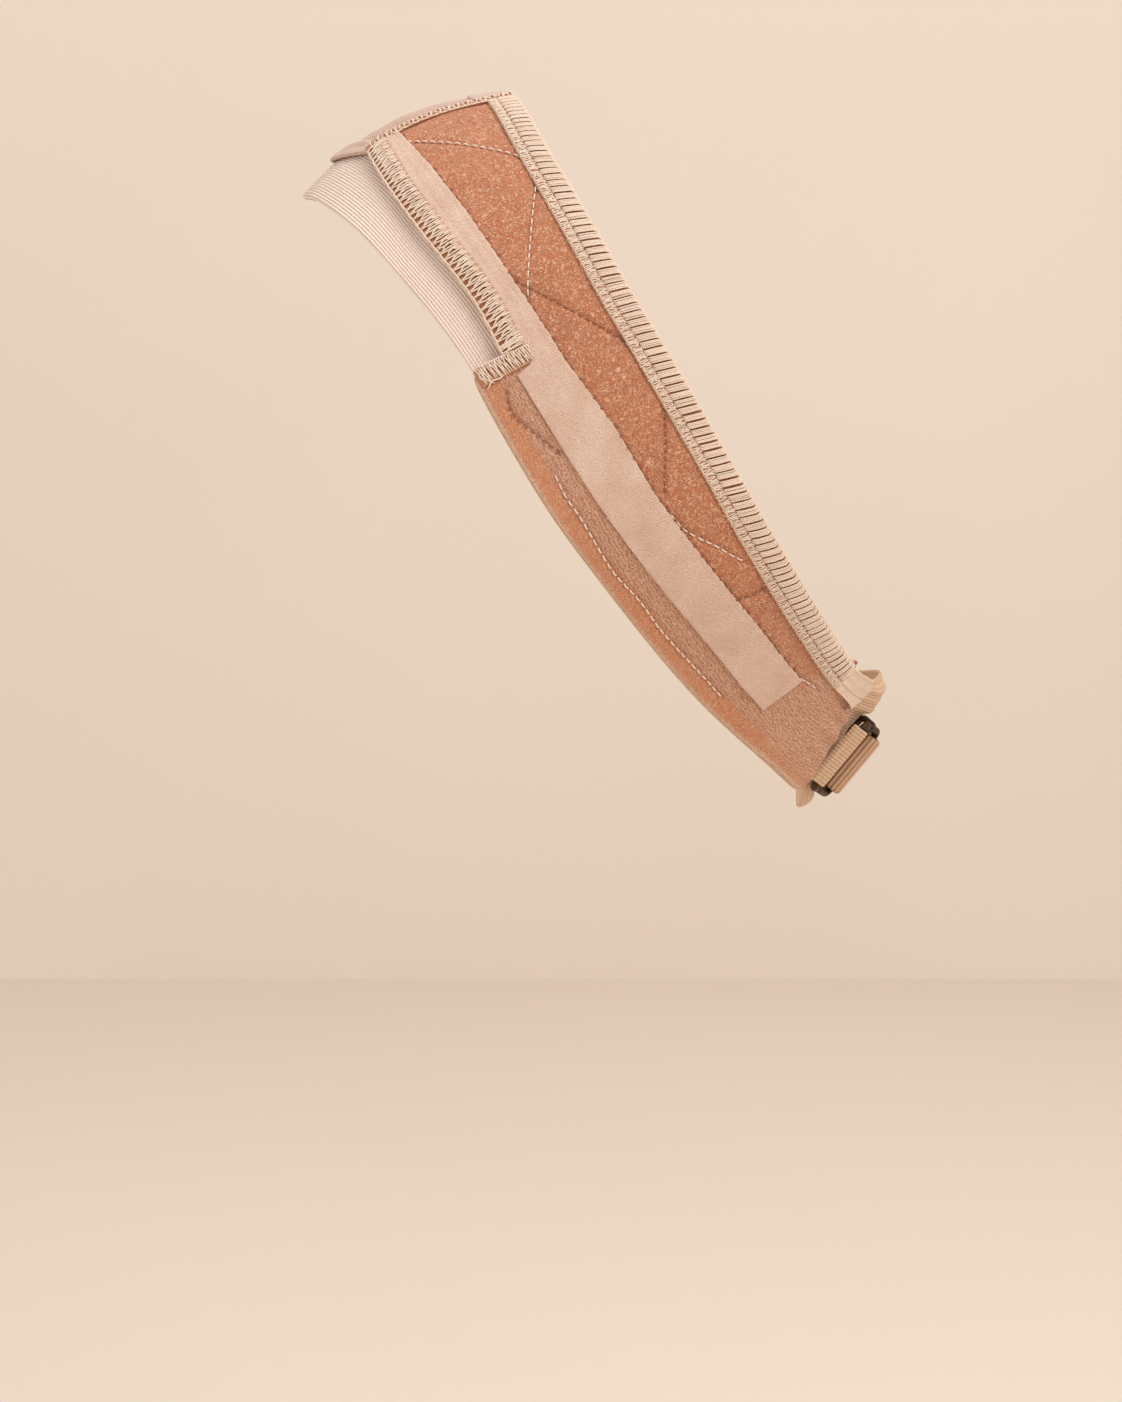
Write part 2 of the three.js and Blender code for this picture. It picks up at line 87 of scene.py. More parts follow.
def slope(p):
    out = np.empty_like(p)
    for k in range(3):
        a, b = p.copy(), p.copy()
        a[..., k] += 0.05
        b[..., k] -= 0.05
        out[..., k] = (level(a) - level(b)) / 0.1
    return out


def settle(p):
    """The point of the ovoid under p, and its outward direction."""
    p = np.array(p, float)
    for _ in range(4):
        g = slope(p)
        p = p - g * (level(p) / (g * g).sum(-1))[..., None]
    g = slope(p)
    return p, g / np.linalg.norm(g, axis=-1)[..., None]


def lifted(p, height):
    q, n = settle(p)
    return q + n * np.asarray(height)[..., None]


def seen(u, v, height):
    """Where the photograph's pixel (u, v) meets the layer at that height, on the near side."""
    u, v = np.asarray(u, float), np.asarray(v, float)
    d = AHEAD + (u - U0)[..., None] / F * RIGHT + (V0 - v)[..., None] / F * ABOVE
    d /= np.linalg.norm(d, axis=-1)[..., None]
    p = EYE + d * (EYE[0] - 78.0)
    for _ in range(14):
        g = slope(p)
        size = np.linalg.norm(g, axis=-1)
        gap = level(p) / size - height
        run = (g / size[..., None] * d).sum(-1)
        p = p - d * (gap / np.minimum(run, -0.08))[..., None]
    return p


def pixel(p):
    r = p - EYE
    w = r @ AHEAD
    return U0 + F * (r @ RIGHT) / w, V0 - F * (r @ ABOVE) / w


def rail(rows, s):
    rows = np.asarray(rows, float)
    ends = np.concatenate([2 * rows[:1] - rows[1:2], rows, 2 * rows[-1:] - rows[-2:-1]])
    s = np.asarray(s, float)
    i = np.clip(np.floor(s).astype(int), 0, len(rows) - 2)
    t = s - i
    if rows.ndim > 1:
        t = t[..., None]
    return spline4(ends[i], ends[i + 1], ends[i + 2], ends[i + 3], t)


def lengths(points):
    return np.concatenate([[0.0], np.cumsum(np.linalg.norm(np.diff(points, axis=0), axis=1))])


def unit(a):
    return a / np.maximum(np.linalg.norm(a, axis=-1), 1e-12)[..., None]


# ---------------------------------------------------------------- tables, as in the CAD
PANEL = [  # rear xyz, mid xyz, front xyz, strip share, lift
    ((26.6, 6.6, -1.9), (32.1, -29.6, -15.6), None, 0.772, 0),
    ((49.3, 13.7, -13.6), (49.5, -23.6, -25.0), None, 0.699, 0),
    ((59.9, 20.0, -24.5), (61.4, -15.3, -36.0), None, 0.673, 0),
    ((69.0, 29.3, -40.7), (71.3, -2.3, -52.6), None, 0.684, 0),
    ((72.5, 35.2, -51.1), (75.3, 5.0, -66.1), (74.5, -3.2, -69.4), 0.640, 0),
    ((74.1, 39.7, -58.5), (76.6, 9.3, -72.3), (75.8, 0.0, -76.6), 0.650, 0),
    ((75.8, 49.0, -74.2), (78.2, 19.0, -88.0), (77.5, 9.1, -92.6), 0.593, 0),
    ((75.2, 58.5, -90.6), (77.5, 29.1, -103.5), (76.0, 18.9, -108.2), 0.602, 0),
    ((70.7, 67.9, -107.0), (72.0, 40.1, -118.4), (70.3, 29.6, -122.8), 0.566, 0),
    ((59.2, 78.2, -123.8), (60.2, 54.5, -136.4), (58.9, 44.4, -141.9), 0.524, 0),
    ((50.4, 84.0, -132.8), (52.1, 62.2, -146.3), (51.4, 53.2, -152.0), 0.511, 0),
    ((43.6, 87.8, -138.6), (45.5, 68.2, -153.5), (45.0, 60.7, -159.5), 0.501, 0),
    ((36.5, 91.7, -143.9), (35.4, 75.7, -164.2), (35.8, 70.4, -168.7), 0.397, 0.3),
    ((26.8, 97.2, -148.2), (22.9, 82.3, -174.1), (24.7, 78.6, -176.8), 0.424, 0.9),
]
NOTCH, STRIP_END, LAST = 4, 11, 13
ELASTIC = [  # front xyz, rear xyz
    ((0, -47.9, -26.3), (0, -36.9, -14.9)), ((28.1, -42.3, -27.9), (28.0, -29.6, -16.6)),
    ((49.8, -31.2, -35.8), (46.9, -20.7, -22.2)), ((62.8, -19.3, -48.3), (59.3, -12.6, -34.0)),
    ((69.2, -9.7, -59.9), (70.1, 0.3, -53.4)), ((72.2, -3.3, -69.1), (73.4, 7.4, -64.1)),
    ((73.2, -1.4, -72.6), (74.2, 9.2, -67.8)),
]
LACE_FRONT, LACE_REAR = np.array([0, -39.9, -17.8]), np.array([0, 3.6, -0.2])
NAPE_MIDDLE, NAPE_DOWN = np.array([0, 90.1, -165.4]), np.array([0, -0.5227, -0.8525])
NAPE_RELIEF = [(-20.6, 1.9), (-18.7, 2.9), (-16.8, 3.2), (-14.9, 1.2), (4, 1.2), (8.6, 2.2), (11.2, 4.4), (18, 4.2),
               (19.4, 2.0), (20.6, 1.2)]
BARS = {"loop": (18, 176.0), "middle_a": (13.9, 177.4), "middle_b": (12.3, 177.9), "strap": (5.2, 181.3)}
OUT, UP, ACROSS = np.array([0, 0.7723, -0.6353]), np.array([0, 0.6353, 0.7723]), np.array([1.0, 0, 0])

REAR = np.array([r[0] for r in PANEL], float)
MID = np.array([r[1] for r in PANEL], float)
FRONT = np.array([r[2] for r in PANEL[NOTCH:]], float)
SHARE = np.array([r[3] for r in PANEL], float)
LIFT = np.array([r[4] for r in PANEL], float)


def rear_at(s): return rail(REAR, s)
def mid_at(s): return rail(MID, s)
def front_at(s): return rail(FRONT, np.asarray(s) - NOTCH)
def strip_at(s): return np.interp(s, range(14), SHARE)
def lift_at(s): return np.interp(s, range(14), LIFT)
def width_at(s): return np.linalg.norm(rear_at(s) - mid_at(s), axis=-1)


def across(s, t):
    t = np.asarray(t)[..., None]
    return rear_at(s) * (1 - t) + mid_at(s) * t


FINE = np.linspace(0, LAST, 2601)
REAR_RUN = lengths(settle(rear_at(FINE))[0])
MID_RUN = lengths(settle(mid_at(FINE))[0])


# ---------------------------------------------------------------- meshes
def linear(c):
    c = np.asarray(c, float) / 255.0
    return tuple(np.where(c <= 0.04045, c / 12.92, ((c + 0.055) / 1.055) ** 2.4)) + (1.0,)


def volume(v, f):
    a, b, c, d = (v[f[:, k]] for k in range(4))
    return (np.einsum("ij,ij->i", a, np.cross(b, c)) + np.einsum("ij,ij->i", a, np.cross(c, d))).sum()


class Shape:
    """Vertices in mm, four-cornered faces, a material number for each face, and values for each vertex."""

    def __init__(self):
        self.v, self.f, self.m, self.a, self.n = [], [], [], [], 0

    def add(self, v, f, material=0, cloth=None, turn=True):
        v, f = np.asarray(v, float).reshape(-1, 3), np.asarray(f, int).reshape(-1, 4)
        if turn and volume(v - v.mean(0), f) < 0:
            f = f[:, ::-1]
        self.v.append(v)
        self.f.append(f + self.n)
        self.m.append(np.full(len(f), material) if np.isscalar(material) else np.asarray(material))
        self.a.append(np.zeros((len(v), 3)) if cloth is None else np.asarray(cloth, float).reshape(-1, 3))
        self.n += len(v)
        return self

    def build(self, name, materials, slot, nodes=(), mirror=False, extra=None, smooth=True):
        v, f, a = np.concatenate(self.v), np.concatenate(self.f), np.concatenate(self.a)
        if mirror:
            v = v * (-1, 1, 1)
            f = f[:, ::-1]
        mesh = bpy.data.meshes.new(name)
        flat = [tuple(dict.fromkeys(q)) if len(set(q)) < 4 else q for q in f.tolist()]
        mesh.from_pydata((v * 0.001).tolist(), [], flat)
        mesh.polygons.foreach_set("material_index", np.concatenate(self.m).astype(np.int32))
        mesh.polygons.foreach_set("use_smooth", np.full(len(f), smooth))
        held = mesh.attributes.new("cloth", "FLOAT_VECTOR", "POINT")
        held.data.foreach_set("vector", a.astype(np.float32).ravel())
        for key, values in (extra or {}).items():
            held = mesh.attributes.new(key, "FLOAT", "POINT")
            held.data.foreach_set("value", np.asarray(values, np.float32).ravel())
        for m in materials:
            mesh.materials.append(m)
        mesh.update()
        piece = bpy.data.objects.new(name, mesh)
        bpy.context.scene.collection.objects.link(piece)
        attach(piece, "root")
        if nodes:
            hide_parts(*nodes)
        return piece


def tubes(path, normal, wide, high=None, sides=6, capped=True):
    """(vertices, faces, cloth) of round or oval threads. path and normal are (threads, points, 3); wide and high
    are half sizes, along the surface and off it, for each point or all."""
    n, k, _ = path.shape
    wide = np.broadcast_to(np.asarray(wide, float), (n, k))
    high = wide if high is None else np.broadcast_to(np.asarray(high, float), (n, k))
    run = np.empty_like(path)
    run[:, 1:-1] = path[:, 2:] - path[:, :-2]
    run[:, 0], run[:, -1] = path[:, 1] - path[:, 0], path[:, -1] - path[:, -2]
    run = unit(run)
    side = unit(np.cross(run, normal))
    up = np.cross(side, run)
    angle = np.arange(sides) * 2 * np.pi / sides + np.pi / sides
    ring = (path[:, :, None] + side[:, :, None] * (np.cos(angle)[:, None] * wide[..., None, None])
            + up[:, :, None] * (np.sin(angle)[:, None] * high[..., None, None]))
    v = ring.reshape(-1, 3)
    base = (np.arange(n)[:, None, None] * k + np.arange(k - 1)[None, :, None]) * sides
    m = np.arange(sides)[None, None, :]
    m1 = (m + 1) % sides
    f = np.stack([base + m, base + m1, base + sides + m1, base + sides + m], -1).reshape(-1, 4)
    if capped:
        first, last = np.arange(n) * k * sides, (np.arange(n) * k + k - 1) * sides
        caps = []
        for j in range(1, sides - 1, 2):
            j2 = min(j + 2, sides - 1)
            caps.append(np.stack([first, first + j2, first + j + 1, first + j], -1))
            caps.append(np.stack([last, last + j, last + j + 1, last + j2], -1))
        if sides % 2 == 0:
            pass
        f = np.concatenate([f] + caps)
    step = np.linalg.norm(np.diff(path, axis=1), axis=-1)
    dist = np.concatenate([np.zeros((n, 1)), np.cumsum(step, axis=1)], 1)
    cloth = np.empty((n, k, sides, 3))
    cloth[..., 0] = dist[..., None]
    cloth[..., 1] = (np.arange(sides) / sides)[None, None]
    cloth[..., 2] = (np.arange(n) * 0.618 % 1.0)[:, None, None]
    return v, f, cloth.reshape(-1, 3)


def smooth_paths(points, per=3):
    """points (threads, k, 3) resampled on smooth curves."""
    ends = np.concatenate([2 * points[:, :1] - points[:, 1:2], points, 2 * points[:, -1:] - points[:, -2:-1]], 1)
    out = []
    for i in range(points.shape[1] - 1):
        for j in range(per):
            out.append(spline4(ends[:, i], ends[:, i + 1], ends[:, i + 2], ends[:, i + 3], j / per))
    out.append(points[:, -1])
    return np.stack(out, 1)


def near(points, edge, chunk=4000):
    """Distance from each point to the nearest point of edge."""
    points, edge = points.astype(np.float32), edge.astype(np.float32)
    out = np.empty(len(points), np.float32)
    e2 = (edge * edge).sum(1)
    for i in range(0, len(points), chunk):
        p = points[i:i + chunk]
        d = (p * p).sum(1)[:, None] + e2[None] - 2 * p @ edge.T
        out[i:i + chunk] = np.sqrt(np.maximum(d.min(1), 0))
    return out


def padded_wall(raw, middle, half, cells=None, cloth=None, bump=None, under=None, roll=None):
    """A wall of cloth with rolled edges on a grid of points. middle is the height of its middle and half its half
    thickness. bump(q, d) moves the outer face. Returns vertices, faces, cloth values, q and d for the outer face."""
    rows, cols, _ = raw.shape
    q, n = settle(raw)
    if cells is None:
        cells = np.ones((rows - 1, cols - 1), bool)
    used = np.zeros((rows, cols), bool)
    for a in (0, 1):
        for b in (0, 1):
            used[a:rows - 1 + a, b:cols - 1 + b] |= cells
    whole = np.zeros((rows, cols), int)
    for a in (0, 1):
        for b in (0, 1):
            whole[a:rows - 1 + a, b:cols - 1 + b] += cells
    rim = used & (whole < 4)
    d = np.zeros((rows, cols))
    d[used] = near(q[used], q[rim])
    d[rim] = 0
    middle, half = np.broadcast_to(middle, (rows, cols)), np.broadcast_to(half, (rows, cols))
    r = half if roll is None else np.broadcast_to(roll, (rows, cols))
    x = np.clip(d / r, 0, 1)
    h = half * np.sqrt(1 - (1 - x) ** 2)
    top = middle + h + (0 if bump is None else bump(q, d) * ease(x * 1.2))
    low = middle - h - (0 if under is None else under(q, d) * ease(x * 1.2))
    number = -np.ones((2, rows, cols), int)
    number[0][used] = np.arange(used.sum())
    inner = used & ~rim
    number[1][inner] = used.sum() + np.arange(inner.sum())
    number[1][rim] = number[0][rim]
    v = np.concatenate([(q + n * top[..., None])[used], (q + n * low[..., None])[inner]])
    i, j = np.nonzero(cells)
    f0 = np.stack([number[0][i, j], number[0][i + 1, j], number[0][i + 1, j + 1], number[0][i, j + 1]], -1)
    f1 = np.stack([number[1][i, j], number[1][i, j + 1], number[1][i + 1, j + 1], number[1][i + 1, j]], -1)
    c = np.zeros((rows, cols, 3)) if cloth is None else cloth
    c = np.concatenate([c[used], c[inner]])
    return v, np.concatenate([f0, f1]), c, (used, inner, d, q)


# ---------------------------------------------------------------- materials
class Mat:
    def __init__(self, name):
        self.m = bpy.data.materials.new(name)
        self.m.use_nodes = True
        self.t = self.m.node_tree
        self.t.nodes.clear()
        out = self.t.nodes.new("ShaderNodeOutputMaterial")
        self.b = self.t.nodes.new("ShaderNodeBsdfPrincipled")
        self.t.links.new(self.b.outputs[0], out.inputs[0])

    def put(self, socket, value):
        if isinstance(value, bpy.types.NodeSocket):
            self.t.links.new(value, socket)
        elif value is not None:
            socket.default_value = value

    def new(self, kind, *ins, out=0, **props):
        node = self.t.nodes.new("ShaderNode" + kind)
        for key, value in props.items():
            setattr(node, key, value)
        for socket, value in zip(node.inputs, ins):
            self.put(socket, value)
        return node.outputs[out]

    def place(self, scale=1.0, squash=None):
        """Position in mm times scale."""
        at = self.new("TexCoord", out=3)
        s = 1000.0 * scale
        return self.new("VectorMath", at, (s, s, s) if squash is None else tuple(1000.0 * x for x in squash),
                        operation="MULTIPLY")

    def attr(self, name, out=2):
        return self.new("Attribute", out=out, attribute_name=name)

    def cloth(self):
        return self.new("Attribute", out=1, attribute_name="cloth")

    def parts(self, vector):
        node = self.t.nodes.new("ShaderNodeSeparateXYZ")
        self.put(node.inputs[0], vector)
        return node.outputs

    def join(self, x, y, z=0.0):
        return self.new("CombineXYZ", x, y, z)

    def math(self, op, a, b=None, c=None, clamp=False):
        return self.new("Math", a, b, c, operation=op, use_clamp=clamp)

    def noise(self, vector, scale=1.0, detail=2.0, rough=0.5, distort=0.0):
        node = self.t.nodes.new("ShaderNodeTexNoise")
        for key, value in (("Vector", vector), ("Scale", scale), ("Detail", detail), ("Roughness", rough),
                           ("Distortion", distort)):
            self.put(node.inputs[key], value)
        return node.outputs[0]

    def cells(self, vector, scale=1.0, feature="F1", out=0, jitter=1.0):
        node = self.t.nodes.new("ShaderNodeTexVoronoi")
        node.feature = feature
        self.put(node.inputs["Vector"], vector)
        self.put(node.inputs["Scale"], scale)
        self.put(node.inputs["Randomness"], jitter)
        return node.outputs[out]

    def span(self, value, a, b, c=0.0, d=1.0, smooth=False):
        node = self.t.nodes.new("ShaderNodeMapRange")
        node.clamp = True
        if smooth:
            node.interpolation_type = "SMOOTHSTEP"
        for k, x in enumerate((value, a, b, c, d)):
            self.put(node.inputs[k], x)
        return node.outputs[0]

    def mix(self, f, a, b, how="MIX"):
        node = self.t.nodes.new("ShaderNodeMix")
        node.data_type, node.blend_type, node.clamp_factor = "RGBA", how, True
        for k, x in ((0, f), (6, a), (7, b)):
            self.put(node.inputs[k], x)
        return node.outputs[2]

    def thin(self, value, width):
        """1 where value is near 0.5, falling to 0 at width."""
        off = self.math("ABSOLUTE", self.math("SUBTRACT", value, 0.5))
        return self.span(off, 0.0, width, 1.0, 0.0)

    def bump(self, height, distance, strength=1.0, normal=None):
        node = self.t.nodes.new("ShaderNodeBump")
        self.put(node.inputs["Strength"], strength)
        self.put(node.inputs["Distance"], distance * 0.001)
        self.put(node.inputs["Height"], height)
        if normal is not None:
            self.put(node.inputs["Normal"], normal)
        return node.outputs[0]

    def finish(self, colour, rough, normal=None, sheen=0.0, tint=(255, 240, 228), sheen_rough=0.5, metal=0.0,
               specular=0.35, coat=0.0):
        i = self.b.inputs
        self.put(i["Base Color"], colour)
        self.put(i["Roughness"], rough)
        i["Metallic"].default_value = metal
        i["Specular IOR Level"].default_value = specular
        i["Sheen Weight"].default_value = sheen
        i["Sheen Roughness"].default_value = sheen_rough
        i["Sheen Tint"].default_value = linear(tint)
        i["Coat Weight"].default_value = coat
        if normal is not None:
            self.put(i["Normal"], normal)
        return self.m


def velour_material():
    m = Mat("salmon_velour")
    at = m.place()
    # curled pile: thin pale lines where two noises cross their middle value
    curl1 = m.thin(m.noise(at, 0.95, 1.0, 0.5, 1.3), 0.085)
    curl2 = m.thin(m.noise(m.new("VectorMath", at, (31.0, 7.0, 19.0), operation="ADD"), 0.82, 1.5, 0.5, 1.1), 0.080)
    patch = m.span(m.noise(at, 0.8, 1.0, 0.6), 0.44, 0.56)
    curls = m.math("MAXIMUM", m.math("MULTIPLY", curl1, patch),
                   m.math("MULTIPLY", curl2, m.math("SUBTRACT", 1.0, patch)))
    grain = m.noise(at, 2.6, 2.0, 0.6)
    broad = m.noise(at, 0.09, 3.0, 0.55)
    knit, orange, pale, groove = (m.attr(x) for x in ("knit", "orange", "pale", "groove"))
    base = m.mix(m.span(grain, 0.35, 0.65), linear((162, 90, 60)), linear((200, 124, 88)))
    base = m.mix(m.math("MULTIPLY", curls, 0.85), base, linear((244, 196, 162)))
    base = m.mix(m.span(broad, 0.35, 0.7, 0.0, 0.16), base, linear((222, 152, 112)))
    # knitted reverse at the front and the rear end
    c = m.parts(m.cloth())
    sway = m.math("MULTIPLY", m.noise(at, 0.75, 2.5, 0.6), 17.0)
    row = m.math("SINE", m.math("ADD", m.math("MULTIPLY", c[1], 2 * math.pi / 0.92), sway))
    course = m.math("SINE", m.math("ADD", m.math("MULTIPLY", c[0], 2 * math.pi / 0.70), m.math("MULTIPLY", row, 1.6)))
    loops = m.span(m.math("ADD", row, m.math("MULTIPLY", course, 0.55)), -0.9, 0.7)
    loops = m.math("ADD", m.math("MULTIPLY", loops, 0.58), m.math("MULTIPLY", m.span(grain, 0.3, 0.7), 0.42))
    brown = m.mix(loops, linear((168, 98, 68)), linear((228, 180, 150)))
    brown = m.mix(m.math("MULTIPLY", curls, 0.45), brown, linear((240, 206, 182)))
    warm = m.mix(m.span(grain, 0.33, 0.66), linear((188, 116, 80)), linear((222, 156, 120)))
    warm = m.mix(m.math("MULTIPLY", curls, 0.5), warm, linear((238, 190, 156)))
    cream = m.mix(m.span(grain, 0.3, 0.7), linear((204, 164, 136)), linear((228, 194, 168)))
    colour = m.mix(knit, base, brown)
    colour = m.mix(orange, colour, warm)
    colour = m.mix(pale, colour, cream)
    # painted shade: darker along the stitch grooves, where the stitches pull the pile down
    colour = m.mix(m.math("MULTIPLY", groove, 0.30), colour, linear((156, 92, 64)))
    height = m.math("ADD", m.math("MULTIPLY", curls, 0.8), m.math("MULTIPLY", grain, 0.7))
    height = m.math("ADD", height, m.math("MULTIPLY", m.math("MULTIPLY", loops, knit), 0.6))
    return m.finish(colour, 0.92, m.bump(height, 0.30, 0.8), sheen=0.25, tint=(255, 214, 190), sheen_rough=0.45,
                    specular=0.2)


def lining_material():
    m = Mat("lining")
    at = m.place()
    c = m.parts(m.cloth())
    rib = m.math("SINE", m.math("MULTIPLY", c[1], 2 * math.pi / 0.7))
    grain = m.noise(at, 2.2, 2.0, 0.6)
    colour = m.mix(m.span(rib, -1, 1), linear((206, 168, 140)), linear((232, 202, 178)))
    colour = m.mix(m.span(grain, 0.3, 0.7, 0, 0.4), colour, linear((214, 178, 150)))
    height = m.math("ADD", m.math("MULTIPLY", rib, 0.4), grain)
    return m.finish(colour, 0.9, m.bump(height, 0.18, 0.7), sheen=0.15, specular=0.2)


def strip_material():
    m = Mat("pale_tricot")
    at = m.place()
    c = m.parts(m.cloth())
    rib = m.math("SINE", m.math("MULTIPLY", c[1], 2 * math.pi / 0.72))
    course = m.math("SINE", m.math("ADD", m.math("MULTIPLY", c[0], 2 * math.pi / 0.62),
                                   m.math("MULTIPLY", rib, 1.5)))
    loops = m.span(m.math("MULTIPLY", rib, course), -1, 1)
    grain = m.noise(at, 2.4, 2.0, 0.6)
    broad = m.noise(at, 0.12, 3.0, 0.5)
    mesh_tone = m.span(m.noise(at, 1.35, 2.0, 0.7), 0.38, 0.62)
    colour = m.mix(m.span(loops, 0, 1, 0.0, 0.85), linear((200, 158, 134)), linear((238, 210, 192)))
    colour = m.mix(m.span(grain, 0.38, 0.62, 0.0, 0.5), colour, linear((222, 188, 165)))
    colour = m.mix(m.span(broad, 0.35, 0.68, 0.0, 0.5), colour, linear((240, 214, 196)))
    colour = m.mix(m.math("MULTIPLY", mesh_tone, 0.30), colour, linear((206, 164, 140)))
    speck = m.span(m.cells(at, 0.28), 0.0, 0.13, 1.0, 0.0)
    colour = m.mix(m.math("MULTIPLY", speck, 0.5), colour, linear((190, 140, 112)))
    height = m.math("ADD", m.math("MULTIPLY", loops, 0.7), m.math("ADD", grain, m.math("MULTIPLY", mesh_tone, -0.5)))
    return m.finish(colour, 0.85, m.bump(height, 0.22, 0.8), sheen=0.15, specular=0.2)


def thread_material(name, light, dark, rough=0.6, sheen=0.15):
    m = Mat(name)
    c = m.parts(m.cloth())
    at = m.place()
    ply = m.math("SINE", m.math("ADD", m.math("MULTIPLY", c[0], 2 * math.pi / 0.62),
                                m.math("MULTIPLY", c[1], 2 * math.pi)))
    grain = m.noise(at, 3.0, 1.0, 0.5)
    tone = m.math("FRACT", m.math("MULTIPLY", c[2], 7.31))
    colour = m.mix(m.span(ply, -1, 1), linear(dark), linear(light))
    colour = m.mix(m.span(tone, 0, 1, 0.0, 0.35), colour, linear(dark))
    height = m.math("ADD", ply, grain)
    return m.finish(colour, rough, m.bump(height, 0.05, 0.6), sheen=sheen, specular=0.35)


def base_material(name, pairs, pale, edge):
    """The cloth under overlocking: brown where the threads stand apart, partly the cloth's own colour and partly
    painted shade in the gaps between the threads; pale past the width edge (mm).
    """
    m = Mat(name)
    at = m.place()
    c = m.parts(m.cloth())
    grain = m.noise(at, 2.4, 2.0, 0.6)
    colour = m.mix(m.span(grain, 0.35, 0.65), linear(pairs[0]), linear(pairs[1]))
    light = m.mix(m.span(grain, 0.35, 0.65), linear(pale[0]), linear(pale[1]))
    colour = m.mix(m.span(c[1], edge, edge + 0.5), colour, light)
    return m.finish(colour, 0.9, m.bump(grain, 0.2, 0.7), sheen=0.1, specular=0.2)


def elastic_material(name, rib, groove, shade, period, cross=0.55):
    """Ribbed elastic. cloth is (along, across, shade)."""
    m = Mat(name)
    at = m.place()
    c = m.parts(m.cloth())
    wave = m.math("COSINE", m.math("MULTIPLY", c[1], 2 * math.pi / period))
    wobble = m.noise(at, 0.5, 2.0, 0.5)
    pick = m.math("SINE", m.math("ADD", m.math("MULTIPLY", c[0], 2 * math.pi / cross),
                                 m.math("ADD", m.math("MULTIPLY", m.math("ROUND", m.math("DIVIDE", c[1], period)), 1.9),
                                        m.math("MULTIPLY", wobble, 4.0))))
    grain = m.noise(at, 2.8, 1.0, 0.5)
    low = m.span(wave, -1.0, -0.15, 1.0, 0.0)
    dash = m.math("MULTIPLY", low, m.span(pick, -0.6, 0.7, 0.45, 1.0))
    colour = m.mix(m.span(grain, 0.3, 0.7), linear(rib), linear(tuple(min(255, x + 10) for x in rib)))
    colour = m.mix(m.span(pick, -1, 1, 0.0, 0.22), colour, linear(groove))
    colour = m.mix(m.math("MULTIPLY", dash, 0.9), colour, linear(groove))
    colour = m.mix(c[2], colour, linear(shade))
    height = m.math("ADD", m.math("MULTIPLY", wave, 0.8), m.math("MULTIPLY", pick, 0.35))
    return m.finish(colour, 0.8, m.bump(height, 0.12, 0.6), sheen=0.2, specular=0.3)


def lace_material():
    m = Mat("lace_net")
    at = m.place()
    grain = m.noise(at, 2.5, 2.0, 0.5)
    broad = m.noise(at, 0.2, 2.0, 0.5)
    colour = m.mix(m.span(grain, 0.35, 0.65), linear((200, 166, 150)), linear((228, 198, 182)))
    colour = m.mix(m.span(broad, 0.35, 0.65, 0.0, 0.35), colour, linear((236, 210, 196)))
    return m.finish(colour, 0.75, m.bump(grain, 0.06, 0.6), sheen=0.25, specular=0.3)


def hem_material():
    m = Mat("lace_hem")
    at = m.place()
    c = m.parts(m.cloth())
    cell = m.cells(m.join(m.math("MULTIPLY", c[0], 1.25), m.math("MULTIPLY", c[1], 1.25), 0.0), 1.0,
                   feature="DISTANCE_TO_EDGE", jitter=0.25)
    net = m.span(cell, 0.05, 0.22, 1.0, 0.0)
    grain = m.noise(at, 2.5, 2.0, 0.5)
    colour = m.mix(m.span(grain, 0.35, 0.65), linear((188, 154, 138)), linear((212, 182, 166)))
    colour = m.mix(m.math("MULTIPLY", net, 0.5), colour, linear((226, 198, 182)))
    return m.finish(colour, 0.8, m.bump(m.math("ADD", net, grain), 0.12, 0.6), sheen=0.25, specular=0.3)


def metal_material():
    m = Mat("dark_bronze")
    at = m.place()
    worn = m.noise(at, 0.35, 3.0, 0.6)
    fine = m.noise(at, 3.0, 2.0, 0.5)
    colour = m.mix(m.span(worn, 0.35, 0.7), linear((50, 30, 14)), linear((84, 54, 28)))
    rough = m.span(fine, 0.3, 0.7, 0.42, 0.58)
    return m.finish(colour, rough, m.bump(fine, 0.02, 0.4), metal=0.6, specular=0.35)


VELOUR, LINING, STRIP = velour_material(), lining_material(), strip_material()
THREAD = thread_material("pale_thread", (246, 226, 208), (222, 192, 168))
WHITE = thread_material("white_stitching", (250, 234, 220), (232, 204, 184))
# brown thread, also used as the painted shade of the needle holes in the rear border
DARK = thread_material("brown_stitching_and_hole_shade", (172, 108, 76), (136, 80, 54))
# the brown of these grounds is partly painted shade in the gaps between the overlock threads
UNDER = base_material("overlock_ground", ((142, 86, 54), (176, 118, 84)), ((196, 146, 116), (218, 176, 148)), 4.6)
NOTCH_UNDER = base_material("notch_ground", ((176, 116, 82), (206, 150, 116)), ((206, 150, 116), (220, 170, 138)), 4.6)
SEAM_UNDER = base_material("seam_ground", ((170, 110, 76), (204, 148, 112)), ((224, 190, 162), (236, 208, 186)), 9.0)
ELASTIC_MAT = elastic_material("forehead_elastic", (244, 226, 214), (200, 164, 144), (196, 164, 142), 0.78)
TAN = elastic_material("tan_elastic", (208, 172, 140), (184, 146, 116), (176, 138, 108), 0.95)
STRAP_RIB = (2 * math.pi * 2.6 + 4 * 5.2) / 27
TAN_PLAIN = elastic_material("tan_webbing", (208, 166, 132), (138, 94, 64), (170, 130, 100), STRAP_RIB)
LACE, HEM, METAL = lace_material(), hem_material(), metal_material()

